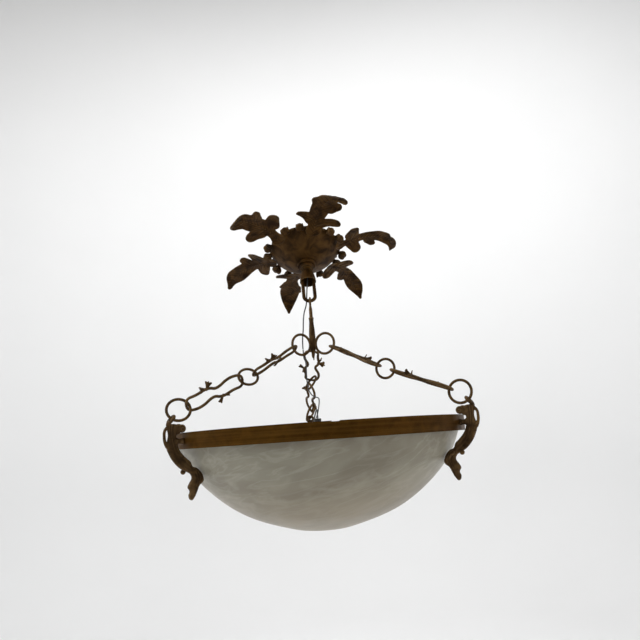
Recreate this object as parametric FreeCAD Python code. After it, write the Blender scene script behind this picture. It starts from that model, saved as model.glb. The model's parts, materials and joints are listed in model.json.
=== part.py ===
"""Alabaster bowl pendant: a tilted leaf canopy, a ringed drop stem, three link chains and a stone bowl.

Units are millimetres, +Z up, +X to the right and +Y away from the front.  The origin is the centre of
the hanging hole in the ceiling strap.  The canopy hangs from that one hole, so it leans; everything
below the hang point, the bottom wire of the canopy's loop that the stem's eye bears on, hangs plumb.
"""
import FreeCAD
import Part
import math
import os

V = FreeCAD.Vector

# ---------------------------------------------------------------- driving dimensions
RUN_GAP = 0.2               # clearance between pieces that bear on each other and move
SEAT_GAP = 0.3              # clearance round pieces that only lie beside each other

# canopy, measured along its own axis from the hang point, which is the centre of the loop's bottom wire
DOME_FLOOR = 90.0           # underside of the dome's flat floor
DOME_DEPTH = 37.0           # from the floor up to the mouth
DOME_RADIUS = 75.0
DOME_FLOOR_R = 20.0
DOME_WALL = 2.5
DOME_BELLY = (18.5, 13.5)   # a point of the dome's outer curve: in from the mouth, up from the floor
BELLY_NORMAL = (-0.6, 0.8)  # inward direction at that point
BUD_RADIUS = 5.5            # curled buds on the rim, between the leaves
BUD_SPREAD = 11.0           # degrees either side of the middle of a gap
BUD_DROP = 6.2              # centre of a bud below the mouth
BUD_OUT = 0.8               # centre of a bud outside the dome's radius
STRAP_RECESS = 13.0         # underside of the ceiling strap below the dome's mouth
STRAP_THICK = 3.0
STRAP_WIDTH = 20.0
STRAP_EDGE = 8.0            # metal beyond each hook hole's centre
HOOK_IN = 23.6              # from the dome's rim in to each hook hole's centre
STRAP_CORNER_R = 8.0
HOOK_HOLE_R = 4.0
TUBE_R = 5.0
TUBE_BORE_R = 3.2
TUBE_PROUD = 3.0            # tube above the strap
NUT_FLATS = 17.0
NUT_HEIGHT = 3.0
COLLAR_R = 18.6
COLLAR_STEP_R = 14.0
COLLAR_HEIGHT = 12.0
COLLAR_CROWN = 1.5          # how far each step of the collar bulges
BELL_R = 15.5
BELL_NECK_R = 8.5
BELL_NECK = 4.0             # length of the straight neck
BELL_MOUTH = 45.0
BELL_WALL = 2.0
BELL_FLARE = 1.5            # how far the side's middle lies inside the mouth's radius
BELL_BLOCK = 16.0           # solid head of the bell, which the tube screws into
LOOP_WIRE_R = 3.3
LOOP_HOLE_R = 7.25
BLOCK_SIZE = (16.0, 20.0, 9.4)   # terminal block
BLOCK_START = 14.0          # distance of its front face from the axis
BLOCK_ENTRY = 6.7           # height of its cable entry above the strap
BLOCK_WELL = (1.6, 3.0)     # radius and depth of a screw well
BLOCK_ENTRY_DEPTH = 3.0

# canopy leaves, levels down from the dome's mouth
LEAF_AZIMUTHS = (-73.0, -8.0, 50.0, 104.0, 152.0, 214.0)
LEAF_NAMES = ("front", "right", "rear_right", "rear", "rear_left", "left")
LEAF_LENGTH = 103.0         # from the dome's rim to the tip, in plan
LEAF_THICK = 3.0
LEAF_ROOT_DROP = 9.0
LEAF_CREST_DROP = 3.5
LEAF_TIP_DROP = 22.0
LEAF_CREST_AT = 43.0        # from the dome's rim to the crest
LEAF_ROOT_R = 7.0
LEAF_ROOT_REACH = 12.0      # stock inside the dome's rim, cut back to its curve
LEAF_STOCK = 120.0          # width of the plate that the leaf is cut from
# round lobes in plan: distance along, distance across, half length, half width, turn in degrees
LEAF_LOBES = (
    (36.0, 0.0, 27.0, 15.0, 0.0),
    (42.0, 23.0, 18.0, 9.5, 55.0),
    (64.0, 0.0, 24.0, 12.0, 0.0),
    (69.0, 16.0, 13.0, 7.5, 48.0),
    (85.0, 0.0, 18.0, 12.0, 0.0),
)

# stem, heights above the rim plane
HANG_DROP = 232.0           # from the hang point to the plane of the bowl's rim
STEM_EYE_WIRE_R = 1.9
STEM_EYE_HOLE_R = 5.0
STEM_EYE_NECK = 8.0         # taper under the eye
STEM_ROD_R = 3.2
STEM_SHEATH_R = 5.6
STEM_SHEATH_TOP = 200.0
STEM_SHEATH_FLARE = 22.0
STEM_SHEATH_BOTTOM = 135.0
STEM_SHEATH_HEM = 12.0
STEM_HEM_R = 3.8
STEM_TIP = 119.0
STEM_TIP_R = 0.6

# chains: radius from the axis and height above the rim plane of each ring's centre
STEM_RING = (25.0, 148.0)
STEM_RINGS_TURN = -1.65      # the fused rings sit turned back this much, midway in the chains' free play
MIDDLE_RING = (138.5, 89.0)
END_RING_OUT = 6.0          # the end ring's centre, outside the band and above the rim plane
END_RING_UP = 37.0
BIG_RING_OD = 42.5
BIG_RING_WIRE_R = 2.35
MIDDLE_RING_OD = 38.0
LINK_WIRE_R = 2.25
LINK_HALF_WIDTH = (13.0, 9.5)   # the rail that bows out, and the one that is drawn in
LINK_BULGE = 16.0
LINK_KINK = (5.5, 10.5)     # half widths either side of the kink
LINK_SAG = 0.5              # how far the rail dips after its kink
LINK_STATIONS = (-0.13, -0.07, 0.10, 0.27)    # kink, kink, dip and bulge, as shares of the length
LINK_CORNER_RADII = (9.0, 5.0, 4.5, 22.0, 24.0, 10.5)
BOW_AT = -0.10              # share of the length
BOW_LEANS = (22.0, 112.0)   # directions of the two leaves of a bow, degrees from the link's line
BOW_LENGTH = 11.0
BOW_WIDTH = 9.0
BOW_ROOT_WIDTH = 3.2
BOW_TIP = (2.0, 0.8, 2.6)   # set-back of one corner, offset of the point, set-back of the other corner
BOW_THICK = 2.4
SIDES = (("left", 210.0), ("right", 330.0), ("rear", 90.0))
# turn of each piece about its chain's line at rest, degrees
TWIST = {
    "left": (26.0, 35.0, 58.0, 28.0),
    "right": (4.0, 0.0, -10.0, 0.0),
    "rear": (15.0, 42.0, 62.0, 33.0),
}

# rim band and bowl, heights from the rim plane
BAND_R = 260.0
BAND_WALL = 3.0
BAND_HEIGHT = 26.0
LEDGE_THICK = 3.0
LEDGE_WIDTH = 8.0
SEAM_WIDTH = 12.0
SEAM_DEPTH = 1.2
SEAM_AZIMUTH = -88.0
BOWL_LIP_GAP = 0.7
BOWL_RIM_TOP = -2.0
BOWL_WALL = 10.0
BOWL_LIP_WIDTH = 18.3
BOWL_LIP_BEVEL = 6.0
BOWL_LEDGE_GAP = 1.0        # between the bowl's side and the ledge's inner edge
BOWL_DEPTH = 154.5          # below the band
# the bowl's outer curve, as shares of its radius and of its depth
BOWL_PROFILE = ((1.0, 0.0), (0.927, 0.25), (0.832, 0.44), (0.675, 0.66), (0.49, 0.83), (0.26, 0.955),
                (0.0, 1.0))
BOWL_SIDE_LEAN = 0.38       # inward run of the curve per unit of drop where it leaves the band

# arms: distance outside the band and height from the rim plane
ARM_THICK = 9.5
ARM_FACE = 12.0             # outer face of the boss
ARM_SCREW_LEVEL = -13.0
ARM_BOSS_R = 5.5
SCROLL_R = 6.4
SCROLL_AT = (2.5, 6.6)
SCROLL_BRIDGE = ((2.5, 4.6), (12.0, -2.0), (12.0, 12.5), (2.5, 12.0))
SCROLL_BRIDGE_THICK = 6.65
EYE_WIRE_R = 2.4
EYE_HOLE_R = 4.4
EYE_ANGLE = -50.0           # where the end ring bears in the arm's eye, degrees on the ring
# arm outline, outer edge from the top and back up the inner edge
ARM_OUTLINE = (
    (9.5, 13.0), (15.0, 15.4), (20.0, 18.6), (24.5, 21.5), (26.0, 8.0), (26.0, -6.0), (24.5, -20.0),
    (19.0, -36.0), (10.0, -49.0), (-3.0, -60.5), (-15.5, -70.0), (-17.5, -75.0), (-12.5, -84.0),
    (-15.0, -91.0), (-13.0, -101.0), (-20.0, -93.0), (-27.0, -82.0), (-32.0, -72.0), (-29.0, -62.0),
    (-21.0, -56.5), (-14.0, -54.5), (-11.5, -47.0), (-6.0, -41.5), (2.5, -31.0), (8.5, -20.0),
    (10.0, -6.0), (9.5, 6.0),
)
STRAND_WIRE_R = 1.6
STRAND = ((25.0, -22.0), (31.0, -10.0), (33.0, 1.0), (30.0, 10.0), (24.0, 13.0))
BALL_R = 3.2
BALL_AT = (0.0, -61.5)
# the leaf turned beside the bowl
SIDE_LEAF = ((-17.0, -58.0), (-12.0, -60.0), (-20.0, -68.0), (-29.0, -78.0), (-31.0, -72.0), (-24.0, -66.0))
SIDE_LEAF_THICK = 5.0
SIDE_LEAF_PROUD = 1.0       # its middle plane outside the arm's face

# screws
SCREW_R = 2.0
SCREW_HEAD_R = 3.8
SCREW_HEAD_HEIGHT = 2.6
SCREW_REACH = 13.0

# lamp fitting inside the bowl
SPIDER_WIDTH = 18.0
SPIDER_THICK = 2.0
SPIDER_HUB_R = 27.0
HUB_R = 22.0
HUB_DEPTH = 32.0
HUB_WALL = 1.6
HOLDER_AZIMUTHS = (30.0, 150.0, 270.0)
HOLDER_DROOP = 15.0
HOLDER_LEVEL = -19.0
HOLDER_R = 14.0
HOLDER_BORE_R = 11.0
HOLDER_LENGTH = 44.0
HOLDER_BASE = 14.0
HOLDER_STUB = (7.0, 12.0)   # reach of the threaded stub inside the hub, and its whole length
CAP_R = 7.0
CAP_LENGTH = 26.0
CAP_PIP = (3.5, 2.0)        # radius and height of the end contact
BULB_R = 22.5
BULB_LENGTH = 52.0
BULB_NECK = 16.0
BULB_SHOULDER_R = 16.2
GRIP_R = 6.0
GRIP_HEIGHT = 12.0
GRIP_SHANK = 3.0            # shank below the spider's top face
GRIP_FLEX_DEPTH = 6.0       # how far the flex goes into the grip
FLEX_CLEARANCE = 0.1

# flex
FLEX_R = 1.2
FLEX_JOINT_GAP = 0.9        # between two runs that belong to bodies that move on each other
TUBE_FLEX_PATH = ((0.0, 0.0, 105.0), (0.6, 0.4, 84.0), (0.0, -0.2, 64.0), (-0.8, 0.8, 47.0),
                  (-3.2, 2.0, 32.0), (-4.4, 3.2, 19.0), (-5.6, 5.0, 7.0))
# the flex beside the stem and along the rear chain, from the plumb axis and the rim plane
STEM_FLEX_LEAD = 10.0       # first run of the stem's flex, in line with the end of the canopy's
STEM_FLEX_PATH = ((-12.2, 6.4, 212.0), (-14.8, 6.6, 195.0), (-15.8, 6.4, 178.0), (-18.2, 7.0, 163.0),
                  (-18.6, 7.6, 152.0))
STEM_FLEX_END = (-18.6, 7.6, 142.0)
BOWL_FLEX_PATH = ((-18.0, 10.5, 130.0), (-15.5, 22.0, 124.0), (-13.0, 40.0, 120.0), (-12.0, 60.0, 111.0),
                  (-11.5, 82.0, 98.0), (-10.0, 102.0, 86.0), (-7.0, 120.0, 73.0), (-1.0, 135.0, 64.5),
                  (7.5, 149.0, 60.5), (14.5, 163.0, 60.5), (17.0, 179.0, 56.5), (17.0, 194.0, 49.0),
                  (15.5, 205.5, 37.0), (12.0, 209.0, 23.5), (4.5, 205.0, 12.5), (-3.5, 192.0, 6.0),
                  (-8.0, 174.0, 3.2), (-7.0, 150.0, 3.4), (-4.0, 124.0, 3.0), (-3.5, 97.0, 3.6),
                  (-5.0, 71.0, 6.5), (-3.5, 46.0, 15.0), (-1.5, 25.0, 25.5), (0.0, 8.0, 31.0),
                  (0.0, 0.0, 23.0))

# ---------------------------------------------------------------- derived sizes
DOME_MOUTH = DOME_FLOOR + DOME_DEPTH
STRAP_LEVEL = DOME_MOUTH - STRAP_RECESS
STRAP_TOP = STRAP_LEVEL + STRAP_THICK
STRAP_MIDDLE = STRAP_LEVEL + STRAP_THICK / 2
HOOK_OFFSET = DOME_RADIUS - HOOK_IN
# the canopy leans until its hanging hole is plumb over the hang point
TILT = math.atan2(HOOK_OFFSET, STRAP_MIDDLE)
CANOPY_TILT = math.degrees(TILT)
HANG_Z = -math.hypot(HOOK_OFFSET, STRAP_MIDDLE)
RIM_Z = HANG_Z - HANG_DROP
TUBE_TOP = STRAP_TOP + TUBE_PROUD
BELL_TOP = DOME_FLOOR - COLLAR_HEIGHT
TUBE_BOTTOM = BELL_TOP - BELL_BLOCK
LOOP_CENTRE_R = LOOP_HOLE_R + LOOP_WIRE_R
BIG_RING_R = BIG_RING_OD / 2 - BIG_RING_WIRE_R
MIDDLE_RING_R = MIDDLE_RING_OD / 2 - LINK_WIRE_R
BAND_INNER_R = BAND_R - BAND_WALL
END_RING = (BAND_R + END_RING_OUT, END_RING_UP)
LEDGE_INNER_R = BAND_INNER_R - LEDGE_WIDTH
LEDGE_TOP = LEDGE_THICK - BAND_HEIGHT
BOWL_LIP_R = BAND_INNER_R - BOWL_LIP_GAP
BOWL_LIP_INNER_R = BOWL_LIP_R - BOWL_LIP_WIDTH
BOWL_SIDE_R = LEDGE_INNER_R - BOWL_LEDGE_GAP
SCREW_START = BAND_INNER_R - SPIDER_THICK           # seat of the screw heads on the spider's tabs


# ---------------------------------------------------------------- helpers
def polar(radius, azimuth, z):
    """Point at a radius and azimuth in degrees."""
    turn = math.radians(azimuth)
    return V(radius * math.cos(turn), radius * math.sin(turn), z)


def rounded_path(points, radii=None, closed=False):
    """Straight runs joined by tangent arcs; returns the wire and the arc radii."""
    points = [V(*p) for p in points]
    count = len(points)
    corners = range(count) if closed else range(1, count - 1)
    starts, ends, arcs, used = {}, {}, {}, []
    for i in corners:
        before, here, after = points[i - 1], points[i], points[(i + 1) % count]
        to_before, to_after = before - here, after - here
        half_turn = (math.pi - to_before.getAngle(to_after)) / 2
        if radii is None:
            reach = 0.45 * min(to_before.Length, to_after.Length)
            radius = reach / math.tan(half_turn)
        else:
            radius = radii[i]
            reach = radius * math.tan(half_turn)
        used.append(radius)
        one, two = V(to_before).normalize(), V(to_after).normalize()
        starts[i], ends[i] = here + one * reach, here + two * reach
        inward = (one + two).normalize()
        middle = here + inward * (radius / math.cos(half_turn) - radius)
        arcs[i] = Part.Arc(starts[i], middle, ends[i]).toShape()
    edges = []
    for i in range(count if closed else count - 1):
        j = (i + 1) % count
        start, end = ends.get(i, points[i]), starts.get(j, points[j])
        edges.append(Part.LineSegment(start, end).toShape())
        if j in arcs:
            edges.append(arcs[j])
    return Part.Wire(edges), used


def tube_along(wire, radius):
    """Round tube swept along a wire of lines and arcs."""
    first = wire.OrderedEdges[0]
    start = first.valueAt(first.FirstParameter)
    heading = first.tangentAt(first.FirstParameter)
    ring = Part.Wire(Part.Circle(start, heading, radius).toShape())
    return wire.makePipeShell([ring], True, False)


def revolved(outline):
    """Solid of revolution about Z from points (radius, height); a (end, middle) pair makes an arc."""
    edges = []
    last = V(outline[0][0], 0, outline[0][1])
    for step in list(outline[1:]) + [outline[0]]:
        if isinstance(step[0], tuple):
            end, middle = V(step[0][0], 0, step[0][1]), V(step[1][0], 0, step[1][1])
            edges.append(Part.Arc(last, middle, end).toShape())
        else:
            end = V(step[0], 0, step[1])
            edges.append(Part.LineSegment(last, end).toShape())
        last = end
    return Part.Face(Part.Wire(edges)).revolve(V(0, 0, 0), V(0, 0, 1), 360)


def extruded(outline, thickness):
    """Flat plate in the XZ plane, centred on Y, from points (x, z)."""
    wire = Part.makePolygon([V(x, -thickness / 2, z) for x, z in list(outline) + [outline[0]]])
    return Part.Face(wire).extrude(V(0, thickness, 0))


def fused(*shapes):
    """Union of several shapes as one tidy solid."""
    return shapes[0].multiFuse(list(shapes[1:])).removeSplitter()


def outside_band(points):
    """Points given as distance outside the band and height, as radius and height."""
    return [(BAND_R + out, height) for out, height in points]


def in_canopy(shape):
    """Place a shape made on the canopy's own axis, hang point at its origin."""
    placed = shape.copy()
    placed.rotate(V(0, 0, 0), V(1, 0, 0), -CANOPY_TILT)
    placed.translate(V(0, 0, HANG_Z))
    return placed


def in_bowl(shape):
    """Place a shape made on the plumb axis, rim plane at z = 0."""
    placed = shape.copy()
    placed.translate(V(0, 0, RIM_Z))
    return placed


def turned(shape, azimuth):
    """Copy of a shape made in the XZ plane, turned to an azimuth."""
    placed = shape.copy()
    placed.rotate(V(0, 0, 0), V(0, 0, 1), azimuth)
    return placed


# ---------------------------------------------------------------- canopy
def dome_outline(inset):
    """Outer curve of the dome, moved inwards by an inset: floor corner, belly, mouth."""
    floor = (DOME_FLOOR_R, DOME_FLOOR + inset)
    belly = (DOME_RADIUS - DOME_BELLY[0] + BELLY_NORMAL[0] * inset,
             DOME_FLOOR + DOME_BELLY[1] + BELLY_NORMAL[1] * inset)
    mouth = (DOME_RADIUS - inset, DOME_MOUTH)
    return floor, belly, mouth


def canopy_dome():
    floor, belly, mouth = dome_outline(0)
    floor_in, belly_in, mouth_in = dome_outline(DOME_WALL)
    hole = TUBE_R + SEAT_GAP
    shell = revolved([(hole, DOME_FLOOR), floor, (mouth, belly), mouth_in, (floor_in, belly_in),
                      (hole, DOME_FLOOR + DOME_WALL)])
    buds = []
    order = sorted(LEAF_AZIMUTHS)
    for here, after in zip(order, order[1:] + [order[0] + 360]):
        middle = (here + after) / 2
        for azimuth in (middle - BUD_SPREAD, middle + BUD_SPREAD):
            centre = polar(DOME_RADIUS + BUD_OUT, azimuth, DOME_MOUTH - BUD_DROP)
            buds.append(Part.makeSphere(BUD_RADIUS, centre))
    hollow = revolved([(0, DOME_FLOOR + DOME_WALL), floor_in, (mouth_in, belly_in), (0, DOME_MOUTH)])
    return fused(shell, *buds).cut(hollow)


def dome_block():
    """Solid inside of the dome's outer curve, for fitting the leaf roots to it."""
    floor, belly, mouth = dome_outline(0)
    return revolved([(0, DOME_FLOOR), floor, (mouth, belly), (0, DOME_MOUTH)])


def leaf_lobe(along, across, half_length, half_width, turn):
    disc = Part.Face(Part.Wire(Part.Ellipse(V(0, 0, 0), half_length, half_width).toShape()))
    lobe = disc.extrude(V(0, 0, DOME_MOUTH))
    lobe.rotate(V(0, 0, 0), V(0, 0, 1), turn)
    lobe.translate(V(DOME_RADIUS + along, across, 0))
    return lobe


def canopy_leaf():
    """One leaf pointing along +X: round lobes in plan, cut out of a plate that droops to the tip."""
    root = DOME_RADIUS - LEAF_ROOT_REACH
    lobes = [Part.makeBox(LEAF_ROOT_REACH + LEAF_LOBES[0][0], 2 * LEAF_ROOT_R, DOME_MOUTH,
                          V(root, -LEAF_ROOT_R, 0))]
    for along, across, half_length, half_width, turn in LEAF_LOBES:
        for side in ((1,) if across == 0 else (1, -1)):
            lobes.append(leaf_lobe(along, side * across, half_length, half_width, side * turn))
    plan = fused(*lobes)
    levels = [DOME_MOUTH - drop for drop in (LEAF_ROOT_DROP, LEAF_CREST_DROP, LEAF_TIP_DROP)]
    stations = (root, DOME_RADIUS + LEAF_CREST_AT, DOME_RADIUS + LEAF_LENGTH)
    lower = [V(x, -LEAF_STOCK / 2, level - LEAF_THICK / 2) for x, level in zip(stations, levels)]
    upper = [V(x, -LEAF_STOCK / 2, level + LEAF_THICK / 2) for x, level in zip(stations, levels)]
    side = Part.Wire([Part.Arc(*lower).toShape(), Part.LineSegment(lower[2], upper[2]).toShape(),
                      Part.Arc(*reversed(upper)).toShape(), Part.LineSegment(upper[0], lower[0]).toShape()])
    plate = Part.Face(side).extrude(V(0, LEAF_STOCK, 0))
    return plate.common(plan).cut(dome_block())


def ceiling_strap():
    """Bar across the dome with a hole for the tube and a hook hole near each end."""
    half = HOOK_OFFSET + STRAP_EDGE
    bar = Part.makeBox(STRAP_WIDTH, 2 * half, STRAP_THICK, V(-STRAP_WIDTH / 2, -half, STRAP_LEVEL))
    upright = [edge for edge in bar.Edges if edge.BoundBox.ZLength > STRAP_THICK / 2]
    bar = bar.makeFillet(STRAP_CORNER_R, upright)
    holes = [Part.makeCylinder(TUBE_R + RUN_GAP / 2, STRAP_THICK, V(0, 0, STRAP_LEVEL))]
    for side in (-1, 1):
        holes.append(Part.makeCylinder(HOOK_HOLE_R, STRAP_THICK, V(0, side * HOOK_OFFSET, STRAP_LEVEL)))
    return bar.cut(Part.makeCompound(holes))


def threaded_tube():
    length = TUBE_TOP - TUBE_BOTTOM
    tube = Part.makeCylinder(TUBE_R, length, V(0, 0, TUBE_BOTTOM))
    return tube.cut(Part.makeCylinder(TUBE_BORE_R, length, V(0, 0, TUBE_BOTTOM)))


def hex_nut(level):
    corner = NUT_FLATS / 2 / math.cos(math.radians(30))
    ring = [polar(corner, 60 * k, level) for k in range(7)]
    nut = Part.Face(Part.makePolygon(ring)).extrude(V(0, 0, NUT_HEIGHT))
    return nut.cut(Part.makeCylinder(TUBE_R, NUT_HEIGHT, V(0, 0, level)))


def tube_nuts():
    return Part.makeCompound([hex_nut(STRAP_TOP), hex_nut(STRAP_LEVEL - NUT_HEIGHT)])


def terminal_block():
    """Screw terminal block on the strap, with four screw wells and a cable entry."""
    wide, deep, tall = BLOCK_SIZE
    well_r, well_depth = BLOCK_WELL
    block = Part.makeBox(wide, deep, tall, V(-wide / 2, BLOCK_START, STRAP_TOP))
    cuts = [Part.makeCylinder(well_r, well_depth, V(x, y, STRAP_TOP + tall - well_depth))
            for x in (-wide / 4, wide / 4)
            for y in (BLOCK_START + deep / 4, BLOCK_START + deep * 3 / 4)]
    cuts.append(Part.makeCylinder(FLEX_R + SEAT_GAP, BLOCK_ENTRY_DEPTH,
                                  V(0, BLOCK_START, STRAP_TOP + BLOCK_ENTRY), V(0, 1, 0)))
    return block.cut(Part.makeCompound(cuts))


def canopy_collar():
    """Two crowned steps between the dome's floor and the bell."""
    middle = DOME_FLOOR - COLLAR_HEIGHT / 2
    quarter = COLLAR_HEIGHT / 4
    step_r = COLLAR_STEP_R - COLLAR_CROWN
    return revolved([(TUBE_R, DOME_FLOOR), (COLLAR_R - COLLAR_CROWN, DOME_FLOOR),
                     ((COLLAR_R - COLLAR_CROWN, middle), (COLLAR_R, middle + quarter)),
                     (step_r, middle), ((step_r, BELL_TOP), (COLLAR_STEP_R, BELL_TOP + quarter)),
                     (TUBE_R, BELL_TOP)])


def loop_bell():
    """Bell with its solid head, and the loop whose two legs run up into the head."""
    neck = BELL_TOP - BELL_NECK
    belly = (neck + BELL_MOUTH) / 2 - BELL_NECK / 2
    side = ((BELL_R, BELL_MOUTH), (BELL_R - BELL_FLARE, belly))
    bell = revolved([(TUBE_R, BELL_TOP), (BELL_NECK_R, BELL_TOP), (BELL_NECK_R, neck), side,
                     (BELL_R - BELL_WALL, BELL_MOUTH),
                     ((BELL_NECK_R, TUBE_BOTTOM), (BELL_R - BELL_WALL - BELL_FLARE, belly - BELL_WALL / 2)),
                     (TUBE_R, TUBE_BOTTOM)])
    legs = TUBE_BOTTOM + BELL_WALL
    left, right = V(-LOOP_CENTRE_R, 0, LOOP_CENTRE_R), V(LOOP_CENTRE_R, 0, LOOP_CENTRE_R)
    path = Part.Wire([Part.LineSegment(V(-LOOP_CENTRE_R, 0, legs), left).toShape(),
                      Part.Arc(left, V(0, 0, 0), right).toShape(),
                      Part.LineSegment(right, V(LOOP_CENTRE_R, 0, legs)).toShape()])
    loop = tube_along(path, LOOP_WIRE_R)
    filled = revolved([(0, neck), (BELL_NECK_R, neck), side, (0, BELL_MOUTH)])
    reach = LOOP_CENTRE_R + LOOP_WIRE_R
    below = Part.makeBox(2 * reach, 2 * reach, BELL_MOUTH + reach, V(-reach, -reach, -reach))
    return fused(bell, loop.common(below), loop.common(filled))


# ---------------------------------------------------------------- stem
def drop_stem():
    """Rod with its eye, leaf sheath and pointed tip, and the three rings fused round it."""
    eye_centre = HANG_DROP + LOOP_WIRE_R + RUN_GAP - STEM_EYE_HOLE_R
    eye_r = STEM_EYE_HOLE_R + STEM_EYE_WIRE_R
    eye = Part.makeTorus(eye_r, STEM_EYE_WIRE_R, V(0, 0, eye_centre), V(1, 0, 0))
    rod_top = eye_centre - eye_r
    rod = revolved([(0, rod_top), (STEM_EYE_WIRE_R, rod_top), (STEM_ROD_R, rod_top - STEM_EYE_NECK),
                    (STEM_ROD_R, STEM_SHEATH_TOP), (STEM_SHEATH_R, STEM_SHEATH_TOP - STEM_SHEATH_FLARE),
                    (STEM_SHEATH_R, STEM_SHEATH_BOTTOM + STEM_SHEATH_HEM), (STEM_HEM_R, STEM_SHEATH_BOTTOM),
                    (STEM_TIP_R, STEM_TIP), (0, STEM_TIP)])
    rings = [Part.makeTorus(BIG_RING_R, BIG_RING_WIRE_R,
                            polar(STEM_RING[0], azimuth + STEM_RINGS_TURN, STEM_RING[1]),
                            polar(1, azimuth + STEM_RINGS_TURN + 90, 0)) for _, azimuth in SIDES]
    return fused(rod, eye, *rings)


# ---------------------------------------------------------------- chains
def chain_line(start, end):
    """Length and slope in degrees of the line between two ring centres."""
    run, rise = end[0] - start[0], end[1] - start[1]
    return math.hypot(run, rise), math.degrees(math.atan2(rise, run))


def link_reach(ring_r, ring_wire_r):
    """Distance from a ring's centre to the centre of the link's end wire that bears in it."""
    return ring_r - ring_wire_r - LINK_WIRE_R - RUN_GAP


def chain_link(length):
    """Closed link along +X, centred, in the XY plane: two kinked rails with a leaf bow at each kink."""
    half = length / 2
    wide, narrow = LINK_HALF_WIDTH
    inner, outer = LINK_KINK
    widths = (inner, outer, outer - LINK_SAG, LINK_BULGE)
    rail = [(-half, narrow)] + [(share * length, width) for share, width in zip(LINK_STATIONS, widths)]
    rail.append((half, wide))
    points = [(x, y, 0) for x, y in rail] + [(-x, -y, 0) for x, y in rail]
    wire, _ = rounded_path(points, LINK_CORNER_RADII * 2, closed=True)
    bows = []
    for side, turn in ((1, 0), (-1, 180)):
        for lean in BOW_LEANS:
            bow = bow_leaf()
            bow.rotate(V(0, 0, 0), V(0, 0, 1), lean + turn)
            bow.translate(V(side * BOW_AT * length, side * (inner + outer) / 2, 0))
            bows.append(bow)
    return fused(tube_along(wire, LINK_WIRE_R), *bows)


def bow_leaf():
    """Small flared leaf pointing along +X."""
    tip, root = BOW_LENGTH + LINK_WIRE_R, BOW_ROOT_WIDTH / 2
    back, offset, forward = BOW_TIP
    half = BOW_WIDTH / 2
    outline = ((0, -root), (tip - back, -half), (tip, offset), (tip - forward, half), (0, root))
    wire = Part.makePolygon([V(x, y, -BOW_THICK / 2) for x, y in outline + (outline[0],)])
    return Part.Face(wire).extrude(V(0, 0, BOW_THICK))


def along_chain(shape, twist, centre, slope, azimuth):
    """Lay a shape made along +X, flat in XY, on a chain's line: twist about the line, slope, azimuth."""
    placed = shape.copy()
    placed.rotate(V(0, 0, 0), V(1, 0, 0), twist)
    placed.rotate(V(0, 0, 0), V(0, 1, 0), -slope)
    placed.translate(V(centre[0], 0, centre[1]))
    placed.rotate(V(0, 0, 0), V(0, 0, 1), azimuth)
    return placed


def chain_pieces():
    """Every link and loose ring of the three chains, by node name."""
    big_reach = link_reach(BIG_RING_R, BIG_RING_WIRE_R)
    small_reach = link_reach(MIDDLE_RING_R, LINK_WIRE_R)
    upper_span, upper_slope = chain_line(STEM_RING, MIDDLE_RING)
    lower_span, lower_slope = chain_line(MIDDLE_RING, END_RING)
    upper = chain_link(upper_span - big_reach - small_reach)
    lower = chain_link(lower_span - big_reach - small_reach)
    upper_mid = between(STEM_RING, MIDDLE_RING, upper_span, big_reach, small_reach)
    lower_mid = between(MIDDLE_RING, END_RING, lower_span, small_reach, big_reach)
    pieces = {}
    for side, azimuth in SIDES:
        upper_twist, middle_twist, lower_twist, end_twist = TWIST[side]
        pieces["link_upper_" + side] = along_chain(upper, upper_twist, upper_mid, upper_slope, azimuth)
        middle = hung_ring(MIDDLE_RING, MIDDLE_RING_R, LINK_WIRE_R, 180 + upper_slope, lower_slope,
                           middle_twist)
        pieces["ring_middle_" + side] = turned(middle, azimuth)
        pieces["link_lower_" + side] = along_chain(lower, lower_twist, lower_mid, lower_slope, azimuth)
        end = hung_ring(END_RING, BIG_RING_R, BIG_RING_WIRE_R, 180 + lower_slope, EYE_ANGLE, end_twist)
        pieces["ring_end_" + side] = turned(end, azimuth)
    return pieces


def ring_pose(centre, ring_r, inner_angle, outer_angle, twist):
    """Centre and axis of a ring in the XZ plane, turned about the chord between its two bearings."""
    middle = V(centre[0], 0, centre[1])
    bearings = [middle + V(math.cos(math.radians(a)), 0, math.sin(math.radians(a))) * ring_r
                for a in (inner_angle, outer_angle)]
    turn = FreeCAD.Rotation(bearings[1] - bearings[0], twist)
    return bearings[0] + turn.multVec(middle - bearings[0]), turn.multVec(V(0, 1, 0))


def hung_ring(centre, ring_r, wire_r, inner_angle, outer_angle, twist):
    placed, axis = ring_pose(centre, ring_r, inner_angle, outer_angle, twist)
    return Part.makeTorus(ring_r, wire_r, placed, axis)


def between(start, end, span, start_reach, end_reach):
    """Centre of a link between two rings, allowing for its two reaches."""
    share = (start_reach + (span - start_reach - end_reach) / 2) / span
    return start[0] + (end[0] - start[0]) * share, start[1] + (end[1] - start[1]) * share


# ---------------------------------------------------------------- bowl group
def bowl_edge(inset):
    """Outer curve of the bowl moved inwards by an inset, square to itself: its edge and its two ends."""
    start = LEDGE_TOP - LEDGE_THICK
    points = [V(BOWL_SIDE_R * across, 0, start - BOWL_DEPTH * down) for across, down in BOWL_PROFILE]
    ends = {"InitialTangent": V(-BOWL_SIDE_LEAN, 0, -1), "FinalTangent": V(-1, 0, 0)}
    outer, moved = Part.BSplineCurve(), Part.BSplineCurve()
    outer.interpolate(Points=points, **ends)
    inside = []
    for point in points:
        tangent = outer.tangent(outer.parameter(point))[0]
        inside.append(point + V(tangent.z, 0, -tangent.x) * inset)
    inside[0].z = start
    inside[-1].x = 0
    moved.interpolate(Points=inside, **ends)
    return moved.toShape(), inside[0], inside[-1]


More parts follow.
